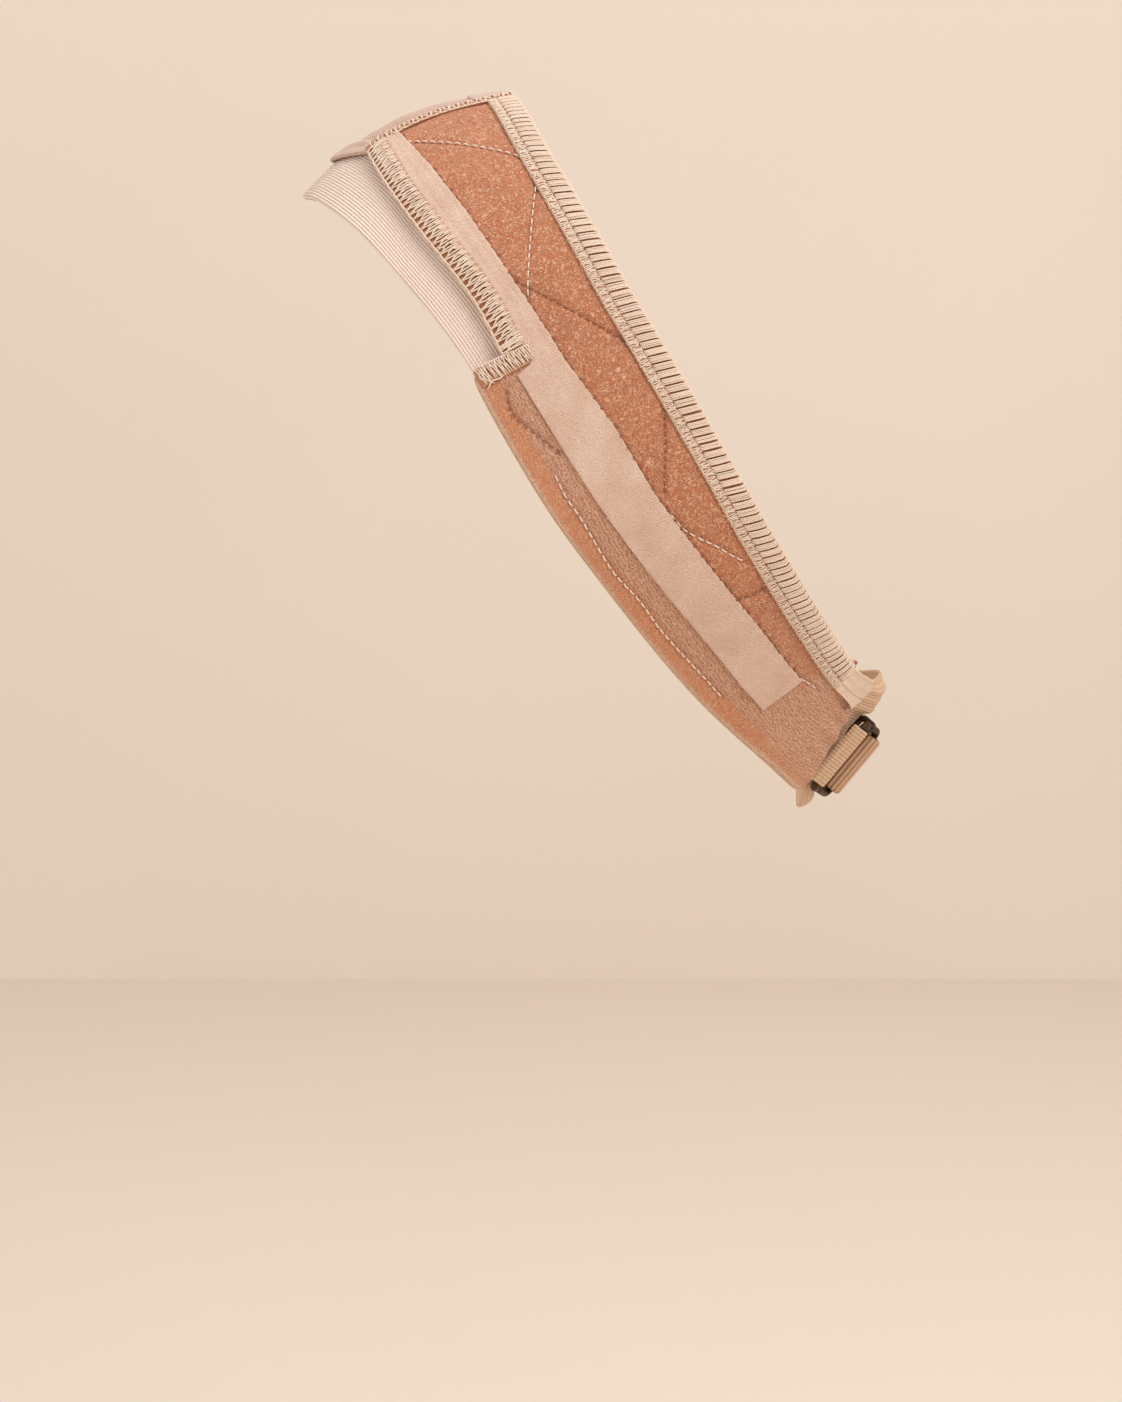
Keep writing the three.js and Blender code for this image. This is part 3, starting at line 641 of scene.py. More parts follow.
# ---------------------------------------------------------------- stitch lines, as photograph pixels
STITCHES = [  # colour, points
    ("pale", [(406, 141.7), (438, 141.7), (463, 143.8), (483, 147.3), (508, 152.4), (523.5, 158), (530, 159)]),
    ("pale", [(538, 171), (534, 201), (530, 244), (528, 280), (528, 298)]),
    ("dark", [(486, 265), (506.5, 276), (527, 286), (559, 303.5), (598, 325), (628, 343), (638, 357), (658, 387)]),
    ("dark", [(664, 406.5), (666, 441), (665, 468), (665, 494)]),
    ("pale", [(646.5, 506.5), (656, 516), (669, 514), (684, 530), (702, 540), (717, 547), (732, 556), (746.5, 563)]),
    ("dark", [(657, 517), (656, 543), (655, 570)]),
    ("dark", [(722, 609), (738, 601), (751, 596), (766, 588)]),
    ("dark", [(507, 389), (510, 408), (518, 420), (534, 432), (550, 445.5), (560, 454)]),
    ("pale", [(555, 475), (566.5, 498), (579, 516), (591, 536), (613.5, 573), (640, 602), (661, 631), (689, 662),
              (706, 680), (722, 698)]),
    ("pale", [(801, 679), (810, 684.5), (819, 691)]),
]


def fine_line(points, step=0.25):
    points = np.asarray(points, float)
    dense = smooth_paths(points[None], 24)[0]
    run = lengths(dense)
    at = np.linspace(0, run[-1], max(2, int(run[-1] / step)))
    return np.stack([np.interp(at, run, dense[:, k]) for k in range(3)], -1)


LINES = []
for tone, px in STITCHES:
    px = np.array(px, float)
    LINES.append((tone, fine_line(seen(px[:, 0], px[:, 1], 3.4))))
LINE_POINTS = np.concatenate([line for _, line in LINES])

# ---------------------------------------------------------------- velour panels
def spread(width, step, rim=(0.0, 0.1, 0.32, 0.62, 0.95), both=True):
    """Positions from 0 to width, close together at the rims."""
    rim = list(rim)
    n = max(1, int(round((width - 2 * rim[-1]) / step)))
    inner = list(np.linspace(rim[-1], width - rim[-1] if both else width, n + 1))
    return np.array(rim[:-1] + inner + ([width - x for x in rim[-2::-1]] if both else []))


def panel():
    total = np.interp(LAST, FINE, MID_RUN)
    top = np.interp(NOTCH, FINE, MID_RUN)
    run = np.concatenate([spread(top, 0.72)[:-1], top + spread(total - top, 0.72)])
    s = np.interp(run, MID_RUN, FINE)
    notch_row = int(np.argmin(abs(run - top)))
    s[notch_row] = NOTCH
    width = width_at(s)
    cols = spread(40.0, 0.72)
    shares = cols / 40.0
    near_rear, near_mid = cols <= 0.96, cols >= 40.0 - 0.96
    t = np.empty((len(s), len(cols)))
    for j, c in enumerate(cols):   # keep the rims in true mm, and spread the rest
        if near_rear[j]:
            t[:, j] = c / width
        elif near_mid[j]:
            t[:, j] = 1 - (40.0 - c) / width
        else:
            a, b = 0.95 / width, 1 - 0.95 / width
            t[:, j] = a + (b - a) * (c - 0.95) / (40.0 - 1.9)
    main = across(s[:, None] + 0 * t, t)
    reach = np.where(s >= NOTCH, np.linalg.norm(front_at(np.maximum(s, NOTCH)) - mid_at(s), axis=-1), 9.0)
    below = run - run[notch_row]
    corner = np.clip(1 - below / 3.6, 0, 1)
    pull = 3.6 * (1 - np.sqrt(1 - corner ** 2))
    after = total - run
    corner2 = np.clip(1 - after / 3.0, 0, 1)
    pull = np.maximum(pull, 3.0 * (1 - np.sqrt(1 - corner2 ** 2)))
    ext = spread(9.0, 0.72, both=True)[1:]
    ext_t = np.empty((len(s), len(ext)))
    for j, c in enumerate(ext):
        far = (reach - pull) / reach
        ext_t[:, j] = np.where(c > 9 - 0.96, far - (9 - c) / reach, far * c / 9.0)
        if c <= 9 - 0.96:
            ext_t[:, j] = (far - 0.95 / reach) * c / (9 - 0.95)
    front = np.where((s >= NOTCH)[:, None], front_at(np.maximum(s, NOTCH)), mid_at(s) + (-0.8, -8.0, -4.0))
    side = mid_at(s)[:, None] * (1 - ext_t[..., None]) + front[:, None] * ext_t[..., None]
    raw = np.concatenate([main, side], 1)
    cells = np.ones((raw.shape[0] - 1, raw.shape[1] - 1), bool)
    cells[:notch_row, len(cols) - 1:] = False
    S = np.broadcast_to(s[:, None], raw.shape[:2])
    W = np.concatenate([t * width[:, None], width[:, None] + ext_t * reach[:, None]], 1)
    end = np.concatenate([width[:, None] + 0 * t, width[:, None] + 0 * ext_t], 1)
    cloth = np.stack([np.broadcast_to(run[:, None], S.shape), W, end], -1)
    lines = settle(LINE_POINTS)[0]
    gathers = np.concatenate([t, 1 + ext_t], 1)

    def bump(q, d):
        near_line = near(q.reshape(-1, 3), lines).reshape(d.shape)
        soft = 0.10 * np.sin(q[..., 1] * 0.33 + q[..., 2] * 0.21) + 0.07 * np.sin(q[..., 2] * 0.47 - q[..., 1] * 0.13)
        dip = -0.42 * np.exp(-(near_line / 0.75) ** 2) + 0.10 * np.exp(-((near_line - 1.8) / 1.0) ** 2)
        # soft creases that run to the end loop, where the panel is drawn in
        draw = ease((S - 11.9) / 1.0) * ease((1.05 - gathers) / 0.5)
        crease = 0.42 * np.sin(gathers * 2 * np.pi * 5.2 + 1.3 * np.sin(S * 2.1)) * draw
        roll = 0.22 * np.exp(-((d - 0.9) / 0.6) ** 2) - 0.16 * np.exp(-((d - 2.1) / 0.6) ** 2)
        on_front = ease((W - end - 2.0) / 4.0) * (S >= NOTCH)
        return soft + dip + crease + roll * on_front

    v, f, c, (used, inner, d, q) = padded_wall(raw, 2.5 + np.interp(S, range(14), LIFT), 0.9, cells, cloth, bump)
    near_line = near(q.reshape(-1, 3), lines).reshape(d.shape)
    strip = np.interp(S, range(14), SHARE) * width[:, None]
    ahead = (W > strip + 2) * 1.0                       # in front of the grip strip
    edge_in = (width + reach - pull)[:, None] - W       # mm from the front edge
    knit = ahead * (S > NOTCH - 0.2) * ease((edge_in - 4.2) / 2.4)
    knit = np.maximum(knit, ease((S - 11.0 + 0.35 * (1 - gathers)) / 0.7))
    knit = np.maximum(knit, 0.30 * ease((S - 8.0) / 2.0) * (1 - ahead))
    orange = ahead * (S > NOTCH) * ease((6.4 - edge_in) / 2.0) * ease((edge_in - 1.2) / 0.7) * (1 - 0.55 * ease((S - 9.5) / 2.5))
    on_front = (S >= NOTCH) * (W > end)
    pale = on_front * ease((1.75 - edge_in) / 0.5) * 0.92
    # groove: painted shade along the stitch lines, where the pile dips
    groove = np.exp(-(near_line / 0.34) ** 2)
    extra = {}
    for key, value in (("knit", knit), ("orange", orange), ("pale", pale), ("groove", groove)):
        value = np.broadcast_to(value, S.shape)
        extra[key] = np.concatenate([value[used], np.zeros(inner.sum())])
    top_faces = int(cells.sum())
    material = np.concatenate([np.zeros(top_faces, int), np.ones(top_faces, int)])
    shape = Shape().add(v, f, material, c)
    return shape, extra


# ---------------------------------------------------------------- grip strip
def grip_strip():
    total = np.interp(STRIP_END, FINE, MID_RUN)
    start = np.interp(0.13, FINE, MID_RUN)
    run = start + spread(total - start, 0.9, rim=(0, 0.06, 0.18, 0.4))
    s = np.interp(run, MID_RUN, FINE)
    width = width_at(s)
    # its front edge runs under the tips of the front overlocking, and at the panel's front edge below the step
    inset = np.interp(s, [NOTCH + 0.62, NOTCH + 0.74], [5.6, 0.0])
    rear = strip_at(s) * width
    front = width - inset
    wide = front - rear
    u = spread(12.0, 0.8, rim=(0, 0.06, 0.18, 0.4))
    w = np.empty((len(s), len(u)))
    for j, c in enumerate(u):
        if c <= 0.41:
            w[:, j] = rear + c
        elif c >= 11.59:
            w[:, j] = front - (12 - c)
        else:
            w[:, j] = rear + 0.4 + (wide - 0.8) * (c - 0.4) / 11.2
    raw = across(s[:, None] + 0 * w, w / width[:, None])
    cloth = np.stack([np.broadcast_to(run[:, None], w.shape), w, 0 * w], -1)
    S = s[:, None] + 0 * w

    def bump(q, d):
        return 0.07 * np.sin(q[..., 1] * 0.31 + 1.0) + 0.05 * np.sin(q[..., 2] * 0.52) - 0.12 * np.exp(-((d - 1.6) / 0.5) ** 2)

    v, f, c, _ = padded_wall(raw, 3.82 + lift_at(S), 0.38, None, cloth, bump)
    shape = Shape().add(v, f, 0, c)
    # small brown stitches along its rear edge
    span = np.arange(start + 2.0, total - 0.5, 2.75)
    span = span + RNG.uniform(-0.35, 0.35, len(span))
    at = np.interp(span, MID_RUN, FINE)
    wr = strip_at(at) * width_at(at) - 0.15 + RNG.uniform(-0.2, 0.2, len(at))
    for off, mat in ((0.0, 1),):
        p = []
        for k, (ds, dw, h) in enumerate(((-0.55, -0.05, 3.55), (-0.3, 0.0, 4.05), (0.0, 0.08, 4.30), (0.3, 0.05, 4.1), (0.6, 0.0, 3.6))):
            sk = np.interp(span + ds, MID_RUN, FINE)
            p.append(lifted(across(sk, (wr + dw + off) / width_at(sk)), h + lift_at(sk) - 0.1))
        path = np.stack(p, 1)
        normal = settle(path)[1]
        shape.add(*tubes(path, normal, 0.20, 0.16, 6)[:2], mat, tubes(path, normal, 0.20, 0.16, 6)[2])
    return shape


# ---------------------------------------------------------------- overlocked borders
def border_points(run_table, from_front, s_run, w, h):
    """Points of an overlocked border: s_run along its edge in mm, w in from the edge, h up."""
    s = np.interp(s_run, run_table, FINE)
    s = np.where(s_run > run_table[-1], LAST + (s_run - run_table[-1]) / 14.0, s)
    width = width_at(s)
    t = 1 - w / width if from_front else w / width
    q, n = settle(across(s, t))
    return q + n * (h + lift_at(np.clip(s, 0, LAST)))[..., None], n


def ground(run_table, from_front, start, end, width, cloth_shift=0.0, thin=False):
    run = start + spread(end - start, 1.2, rim=(0, 0.1, 0.3))
    w = spread(width, 0.8, rim=(0, 0.1, 0.3))
    s = np.interp(run, run_table, FINE)
    W = w[None] + 0 * s[:, None]
    S = s[:, None] + 0 * W
    t = 1 - W / width_at(S) if from_front else W / width_at(S)
    raw = across(S, t)
    cloth = np.stack([run[:, None] + 0 * W, W, 0 * W], -1)
    v, f, c, _ = padded_wall(raw, 3.72 + lift_at(S), 0.30, None, cloth)
    return v, f, c


def thread_set(shape, points, start, count, period, template, radius, material, jitter=0.06, sides=6, per=2, lean=0.0, flat=0.85):
    """template: rows of (a, w, h), a in periods. One thread of it in each period."""
    template = np.asarray(template, float)
    k = np.arange(count)
    a = (k[:, None] + template[None, :, 0]) * period
    w = np.broadcast_to(template[None, :, 1], a.shape).copy()
    h = np.broadcast_to(template[None, :, 2], a.shape).copy()
    a = a + RNG.normal(0, jitter, (count, 1)) * period + RNG.normal(0, jitter * 0.4, a.shape) * period
    a = a - lean * w
    w[:, -1] += RNG.normal(0, 0.12, count)
    h = h + RNG.normal(0, 0.03, h.shape)
    path, normal = points(start + a, w, h)
    path = smooth_paths(path, per)
    normal = settle(path)[1] if per > 1 else normal
    size = radius * (1 + RNG.normal(0, 0.06, (count, 1)))
    v, f, c = tubes(path, normal, size, size * flat, sides)
    shape.add(v, f, material, c)


def rear_border():
    start, end = np.interp(0.12, FINE, REAR_RUN), REAR_RUN[-1]
    shape = Shape()
    v, f, c = ground(REAR_RUN, False, start, end - 0.2, 7.3)
    shape.add(v, f, 1, c)
    points = lambda a, w, h: border_points(REAR_RUN, False, a, w, h)
    period = 1.95
    count = int((end - start - 11.6) / period)
    for j in range(4):
        a0 = 0.02 + 0.198 * j
        thread_set(shape, points, start + 0.9, count, period,
                   [(a0 + 0.02, 2.6, 1.32), (a0, 0.5, 1.30), (a0, -0.30, 2.2), (a0, -0.22, 3.5), (a0, 0.5, 4.36),
                    (a0 - 0.02, 2.4, 4.46), (a0 - 0.04, 4.1, 4.36), (a0 - 0.06, 4.8, 4.02)],
                   0.21, 0, 0.02, 6, 1, lean=0.17)
    # thin pairs over the pale inner part
    for a0, a1 in ((0.10, 0.42), (0.72, 0.40), (0.30, 0.62), (0.92, 0.64), (0.0, 0.15), (0.5, 0.8)):
        thread_set(shape, points, start + 0.9, count, period,
                   [(a0, 4.6, 3.95), (a0 * 0.7 + a1 * 0.3, 5.2, 4.24), (a1, 6.5, 4.26), (a1 + 0.03, 7.2, 3.90)],
                   0.17, 0, 0.05, 5, 1, lean=0.17)
    thread_set(shape, points, start + 0.9, count, period,
               [(0.1, 6.75, 3.95), (0.25, 6.85, 4.2), (0.75, 6.9, 4.2), (0.92, 6.85, 3.95)], 0.16, 0, 0.04, 5, 1)
    # dark pits between the lashes and the pale inner part: short brown pieces that are painted shade in the needle
    # holes
    thread_set(shape, points, start + 0.9, count, period,
               [(-0.56, 4.75, 4.1), (-0.46, 4.85, 4.24), (-0.36, 4.8, 4.1)], 0.17, 2, 0.03, 5, 1)
    thread_set(shape, points, start + 0.9, count, period,
               [(-0.26, 6.75, 4.0), (-0.17, 6.85, 4.16), (-0.08, 6.8, 4.0)], 0.13, 2, 0.06, 5, 1)
    # two lobes at its end: lengthwise ribs, then a fan of curved threads
    w0 = np.linspace(0.0, 5.1, 14)[:, None]
    bow = 1.5 * ((w0 - 2.5) / 2.6) ** 2
    a = end - 12.6 + np.array([0.0, 0.3, 0.6, 0.88, 0.97, 1.0]) * (12.7 - bow)
    w = 0.25 + 0.86 * w0 + (w0 - 0.25 - 0.86 * w0) * np.array([0, 0.4, 0.9, 1.0, 1.0, 1.0])
    h = np.array([4.1, 4.5, 4.72, 4.6, 4.2, 3.5]) + 0.05 * np.cos(w0 * 2.4)
    path, normal = points(a, w, h)
    path = smooth_paths(path, 3)
    shape.add(*_t(tubes(path, settle(path)[1], 0.215, 0.21, 6), 0))
    k = np.linspace(0, 1, 12)[:, None]
    a = end - 12.2 + np.concatenate([0 * k, 4.2 + 0 * k, 8.2 - 0.6 * k, 10.6 - 1.9 * k, 11.2 - 2.8 * k], 1)
    w = np.concatenate([4.7 + 2.4 * k, 5.0 + 2.4 * k, 5.5 + 2.7 * k, 5.9 + 3.1 * k, 6.5 + 3.3 * k], 1)
    h = np.array([4.0, 4.35, 4.55, 4.35, 3.6]) + 0 * k
    path, normal = points(a, w, h)
    path = smooth_paths(path, 3)
    shape.add(*_t(tubes(path, settle(path)[1], 0.20, 0.18, 6), 0))
    # the cord along the outer edge
    a = np.linspace(start + 0.5, end - 11.0, 330)[None]
    path, normal = points(a, np.full(a.shape, -0.32) + 0.05 * np.sin(a * 1.9), np.full(a.shape, 3.15) + 0.06 * np.sin(a * 2.3))
    v, f, c = tubes(path, normal, 0.36, 0.40, 8)
    shape.add(v, f, 0, c)
    return shape, points, end


def front_border():
    start, end = np.interp(0.13, FINE, MID_RUN), np.interp(NOTCH + 0.0, FINE, MID_RUN)
    shape = Shape()
    v, f, c = ground(MID_RUN, True, start, end, 6.2)
    shape.add(v, f, 1, c)
    points = lambda a, w, h: border_points(MID_RUN, True, a, w, h)
    period = 1.70
    count = int((end - start - 0.8) / period)
    begin = start + 0.9
    wrap = [(0.0, 2.4, 1.32), (0.0, 0.4, 1.30), (0.0, -0.26, 2.3), (0.0, -0.16, 3.5)]
    rows = [
        [(-0.13, 0.5, 4.30), (-0.12, 1.6, 4.46), (-0.10, 3.2, 4.46), (-0.06, 4.6, 4.36), (-0.02, 5.7, 4.0)],
        [(0.08, 0.5, 4.30), (0.12, 1.2, 4.44), (0.30, 2.4, 4.42), (0.30, 4.0, 4.40), (0.20, 5.3, 4.0)],
    ]
    for row in rows:
        shift = row[0][0]
        full = [(a + shift, w, h) for a, w, h in wrap] + row
        thread_set(shape, points, begin, count, period, full, 0.215, 0, 0.045, 6, 1, lean=0.26)
    # crossings that close the gaps
    thread_set(shape, points, begin, count, period,
               [(1.02, 1.0, 4.30), (0.80, 1.7, 4.52), (0.55, 2.5, 4.46), (0.50, 3.8, 4.44), (0.52, 5.5, 4.0)],
               0.20, 0, 0.05, 6, 2, lean=0.26)
    thread_set(shape, points, begin, count, period,
               [(0.24, 2.9, 4.3), (0.45, 3.7, 4.56), (0.72, 4.4, 4.48), (0.80, 5.3, 4.36), (0.78, 6.2, 3.95)],
               0.19, 0, 0.05, 6, 2, lean=0.26)
    # upright threads at the step
    for w1 in (5.9, 6.1):
        thread_set(shape, points, end - 2.3, 3, 0.85,
                   [(0.0, 1.6, 1.32), (0.0, -0.26, 2.3), (0.0, 0.4, 4.28), (0.04, 2.6, 4.5), (0.0, w1 - 0.8, 4.4), (0.0, w1, 4.0)],
                   0.20, 0, 0.05, 6, 2, lean=0.04 if w1 < 6 else 0.12)
    a = np.linspace(start + 0.3, end - 0.2, 150)[None]
    path, normal = points(a, np.full(a.shape, 0.12) + 0.07 * np.sin(a * 1.7), np.full(a.shape, 4.12))
    shape.add(*_t(tubes(path, normal, 0.24, 0.26, 7), 0))
    path, normal = points(a, np.full(a.shape, -0.20), np.full(a.shape, 2.9))
    shape.add(*_t(tubes(path, normal, 0.30, 0.30, 7), 0))
    return shape


def _t(tube, material):
    v, f, c = tube
    return v, f, material, c


def notch_border():
    inner = across(np.array(float(NOTCH)), np.array(1 - 6.6 / width_at(float(NOTCH))))
    outer = front_at(float(NOTCH))
    down = unit(mid_at(NOTCH + 0.5) - mid_at(float(NOTCH)))
    total = float(np.linalg.norm(outer - inner))
    run_dir = (outer - inner) / total

    def points(a, w, h):
        w = np.asarray(w) * (0.80 + 0.18 * np.clip(np.asarray(a) / total, 0, 1))
        q, n = settle(inner + run_dir * np.asarray(a)[..., None] + down * (0.1 + w)[..., None])
        return q + n * np.asarray(h)[..., None], n

    shape = Shape()
    a = spread(total - 0.5, 0.8, rim=(0, 0.1, 0.3))
    w = spread(5.2, 0.8, rim=(0, 0.1, 0.3))
    A, W = np.meshgrid(a, w, indexing="ij")
    W = W * 1.0
    W2 = (W + np.clip(A - (total - 3.4), 0, 9) ** 2 * 0.10 * (1 - W / 5.6)) * (0.80 + 0.18 * A / total)
    q = inner + run_dir * A[..., None] + down * (0.1 + W2)[..., None]
    v, f, c, _ = padded_wall(q, 3.72, 0.30, None, np.stack([A, W, 0 * A], -1))
    shape.add(v, f, 1, c)
    period = 1.25
    count = int((total - 1.6) / period)
    for j, row in enumerate([
        [(0.0, 2.0, 1.32), (0.0, -0.2, 1.9), (0.0, -0.28, 3.2), (0.05, 0.25, 4.3), (0.15, 1.2, 4.5), (0.42, 3.2, 4.46), (0.50, 4.6, 4.0)],
        [(0.95, 0.15, 4.1), (0.85, 1.2, 4.56), (0.66, 2.8, 4.52), (0.52, 4.3, 4.42), (0.50, 5.0, 3.95)],
        [(0.5, 1.6, 1.32), (0.5, -0.2, 1.9), (0.5, -0.25, 3.2), (0.48, 0.35, 4.25), (0.35, 1.7, 4.44), (0.14, 3.6, 4.42), (0.04, 4.7, 3.95)],
    ]):
        thread_set(shape, points, 0.4, count, period, row, 0.19, 0, 0.07, 6, 1)
    # a long thread along the edge, and the loose loop at the lower corner
    a = np.linspace(0.3, total - 1.8, 40)[None]
    path, normal = points(a, 0.05 + 0.08 * np.sin(a * 2.2), 4.12 + 0 * a)
    shape.add(*_t(tubes(path, normal, 0.22, 0.24, 7), 0))
    loop = np.array([[(total - 6.3, 4.6, 3.9), (total - 5.2, 5.2, 4.3), (total - 3.4, 4.9, 4.45), (total - 2.0, 5.7, 4.3), (total - 1.2, 6.1, 3.8)],
                     [(total - 3.0, 0.6, 3.9), (total - 2.6, 1.8, 4.45), (total - 2.2, 3.4, 4.45), (total - 2.9, 4.8, 4.3), (total - 3.5, 5.6, 3.9)],
                     [(total - 2.2, 0.9, 3.9), (total - 1.5, 2.0, 4.3), (total - 1.2, 3.0, 4.3), (total - 1.8, 3.9, 4.2), (total - 2.4, 4.1, 3.9)]])
    path, normal = points(loop[..., 0], loop[..., 1], loop[..., 2])
    path = smooth_paths(path, 3)
    shape.add(*_t(tubes(path, settle(path)[1], 0.2, 0.18, 6), 0))
    return shape


def seam_fall(t, w):
    lace_t = 1 - np.asarray(t)
    high = [lace_low(x) + np.where(x >= 0.8, 1.7, np.where(x < 0.06, 1.2, 1.0)) for x in (lace_t - 0.09, lace_t, lace_t + 0.09)]
    low = np.minimum(3.7, 0.3 + np.max(high, axis=0))
    return (low - 3.7) * np.clip((-0.5 - np.asarray(w)) / 1.4, 0, 1.15)


def crown_seam():
    fine_t = np.linspace(0, 1, 400)
    line = settle(rear_at(0.0) * (1 - fine_t[:, None]) + mid_at(0.0) * fine_t[:, None])[0]
    run = lengths(line)

    def points(a, w, h):
        t = np.interp(a, run, fine_t)
        t = np.asarray(t)
        p, n = settle(rear_at(0.0) * (1 - t[..., None]) + mid_at(0.0) * t[..., None])
        t2 = t + 0.01
        p2 = settle(rear_at(0.0) * (1 - t2[..., None]) + mid_at(0.0) * t2[..., None])[0]
        side = unit(np.cross(p2 - p, n))
        side = np.where((side[..., 2] < 0)[..., None], side, -side)
        w = np.where(np.asarray(w) < 0, 0.88, 1.1) * w
        q, n = settle(p + side * w[..., None])
        return q + n * (h + seam_fall(t, w))[..., None], n

    shape = Shape()
    a = spread(run[-1], 1.0, rim=(0, 0.1, 0.3))
    w = spread(4.4, 0.45, rim=(0, 0.1, 0.3)) - 2.2
    A, W = np.meshgrid(a, w, indexing="ij")
    raw = points(A, W, 0 * A)[0]
    fall = seam_fall(np.interp(A, run, fine_t), np.where(W < 0, 0.88, 1.1) * W)
    v, f, c, _ = padded_wall(raw, 3.72 + fall, 0.32, None, np.stack([A, W + 2.2, 0 * A], -1))
    shape.add(v, f, 1, c)
    period = 2.25
    count = int((run[-1] - 1.0) / period)
    # oval loops, side by side, and the zigzag that holds them
    oval = [(0.05, 1.9, 3.9), (0.02, 0.6, 4.42), (0.10, -1.2, 4.5), (0.42, -2.1, 4.42), (0.78, -1.3, 4.5), (0.90, 0.4, 4.46), (0.96, 1.9, 3.9)]
    thread_set(shape, points, 0.5, count, period, oval, 0.20, 0, 0.04, 6, 2)
    thread_set(shape, points, 0.5, count, period, [(0.30, -0.9, 3.95), (0.42, 0.2, 4.4), (0.50, 1.5, 4.42), (0.62, 2.3, 3.95)], 0.19, 0, 0.05, 6, 2)
    thread_set(shape, points, 0.5, count, period, [(0.95, 0.9, 4.1), (0.72, 1.4, 4.5), (0.40, 1.9, 4.45), (0.12, 2.3, 4.0)], 0.19, 0, 0.05, 6, 2)
    thread_set(shape, points, 0.5, count, period, [(0.0, -2.0, 4.0), (0.3, -2.35, 4.25), (0.7, -2.3, 4.25), (1.0, -2.0, 4.0)], 0.17, 0, 0.03, 6, 2)
    for off in (2.15, -2.15):
        a = np.linspace(0.2, run[-1] - 0.2, 60)[None]
        path, normal = points(a, off + 0.12 * np.sin(a * 2.6), 4.05 + 0 * a)
        shape.add(*_t(tubes(path, normal, 0.20, 0.2, 6), 0))
    return shape


# ---------------------------------------------------------------- lace
def lace_raw(a, t):
    """a from -1 to 1 across the crown, t from its front hem to its rear."""
    t = np.asarray(t)[..., None]
    side = (MID[0] + (-0.45, 0, 0)) * (1 - t) + (REAR[0] + (-0.45, 0, 0)) * t
    middle = LACE_FRONT * (1 - t) + LACE_REAR * t
    a = np.asarray(a)
    out = np.empty(np.broadcast(a, t[..., 0]).shape + (3,))
    out[..., 0] = side[..., 0] * a
    for k in (1, 2):
        out[..., k] = middle[..., k] + (side[..., k] - middle[..., k]) * a * a
    return out


def lace_low(t):
    return 0.5 + 1.1 * (1 - ease((np.asarray(t) - 0.13) / 0.07))


def lace():
    shape = Shape()
    wide, long, pitch = 59.0, 45.0, 0.95
    # hexagons: points of a honeycomb over the sheet, and its three edges a cell
    edge = pitch / math.sqrt(3)
    nx, ny = int(wide / pitch) + 2, int(long / (1.5 * edge)) + 2
    i, j = np.meshgrid(np.arange(nx), np.arange(ny), indexing="ij")
    cx = (i + 0.5 * (j % 2)) * pitch - wide / 2 - pitch / 2
    cy = j * 1.5 * edge
    corner = [(pitch / 2 * sx, edge / 2 * sy) for sx, sy in ((1, 1), (0, 2), (-1, 1), (-1, -1))]
    lines = []
    for (ax, ay), (bx, by) in zip(corner[:-1], corner[1:]):
        lines.append(np.stack([np.stack([cx + ax, cy + ay], -1), np.stack([cx + bx, cy + by], -1)], -2))
    lines = np.concatenate([x.reshape(-1, 2, 2) for x in lines])
    middle = lines.mean(1)
    keep = (abs(middle[:, 0]) < wide / 2 - 0.1) & (middle[:, 1] > 1.2) & (middle[:, 1] < long - 0.8)
    lines = lines[keep]
    t = np.clip(lines[..., 1] / long, 0.0, 1.0)
    a = np.clip(lines[..., 0] / (wide / 2), -1, 1)
    raw = lace_raw(a, t)
    q, n = settle(raw)
    wave = 0.08 * np.sin(lines[..., 0] * 0.5) + 0.06 * np.sin(lines[..., 1] * 0.7)
    h = lace_low(t) + 0.80 + wave
    path = q + n * h[..., None]
    v, f, c = tubes(path, n, 0.135, 0.12, 4)
    shape.add(v, f, 0, c)
    # front hem, rolled, and the double rear hem
    def hem(t0, t1, half, up, steps):
        a = np.linspace(-1, 1, 96)
        rows = t0 + (t1 - t0) * spread(1.0, 0.12, rim=(0, 0.02, 0.07))
        A, T = np.meshgrid(a, rows, indexing="ij")
        raw = lace_raw(A, T)
        cloth = np.stack([A * wide / 2, T * long, 0 * A], -1)
        def bump(q, d):
            return 0.05 * np.sin(A * 55) + 0.05 * np.sin(A * 23 + 1)
        v, f, c, _ = padded_wall(raw, lace_low(T) + up, half, None, cloth, bump)
        shape.add(v, f, 1, c)
    hem(0.0, 0.075, 0.55, 0.62, 8)
    hem(0.80, 1.0, 0.62, 0.85, 12)
    return shape


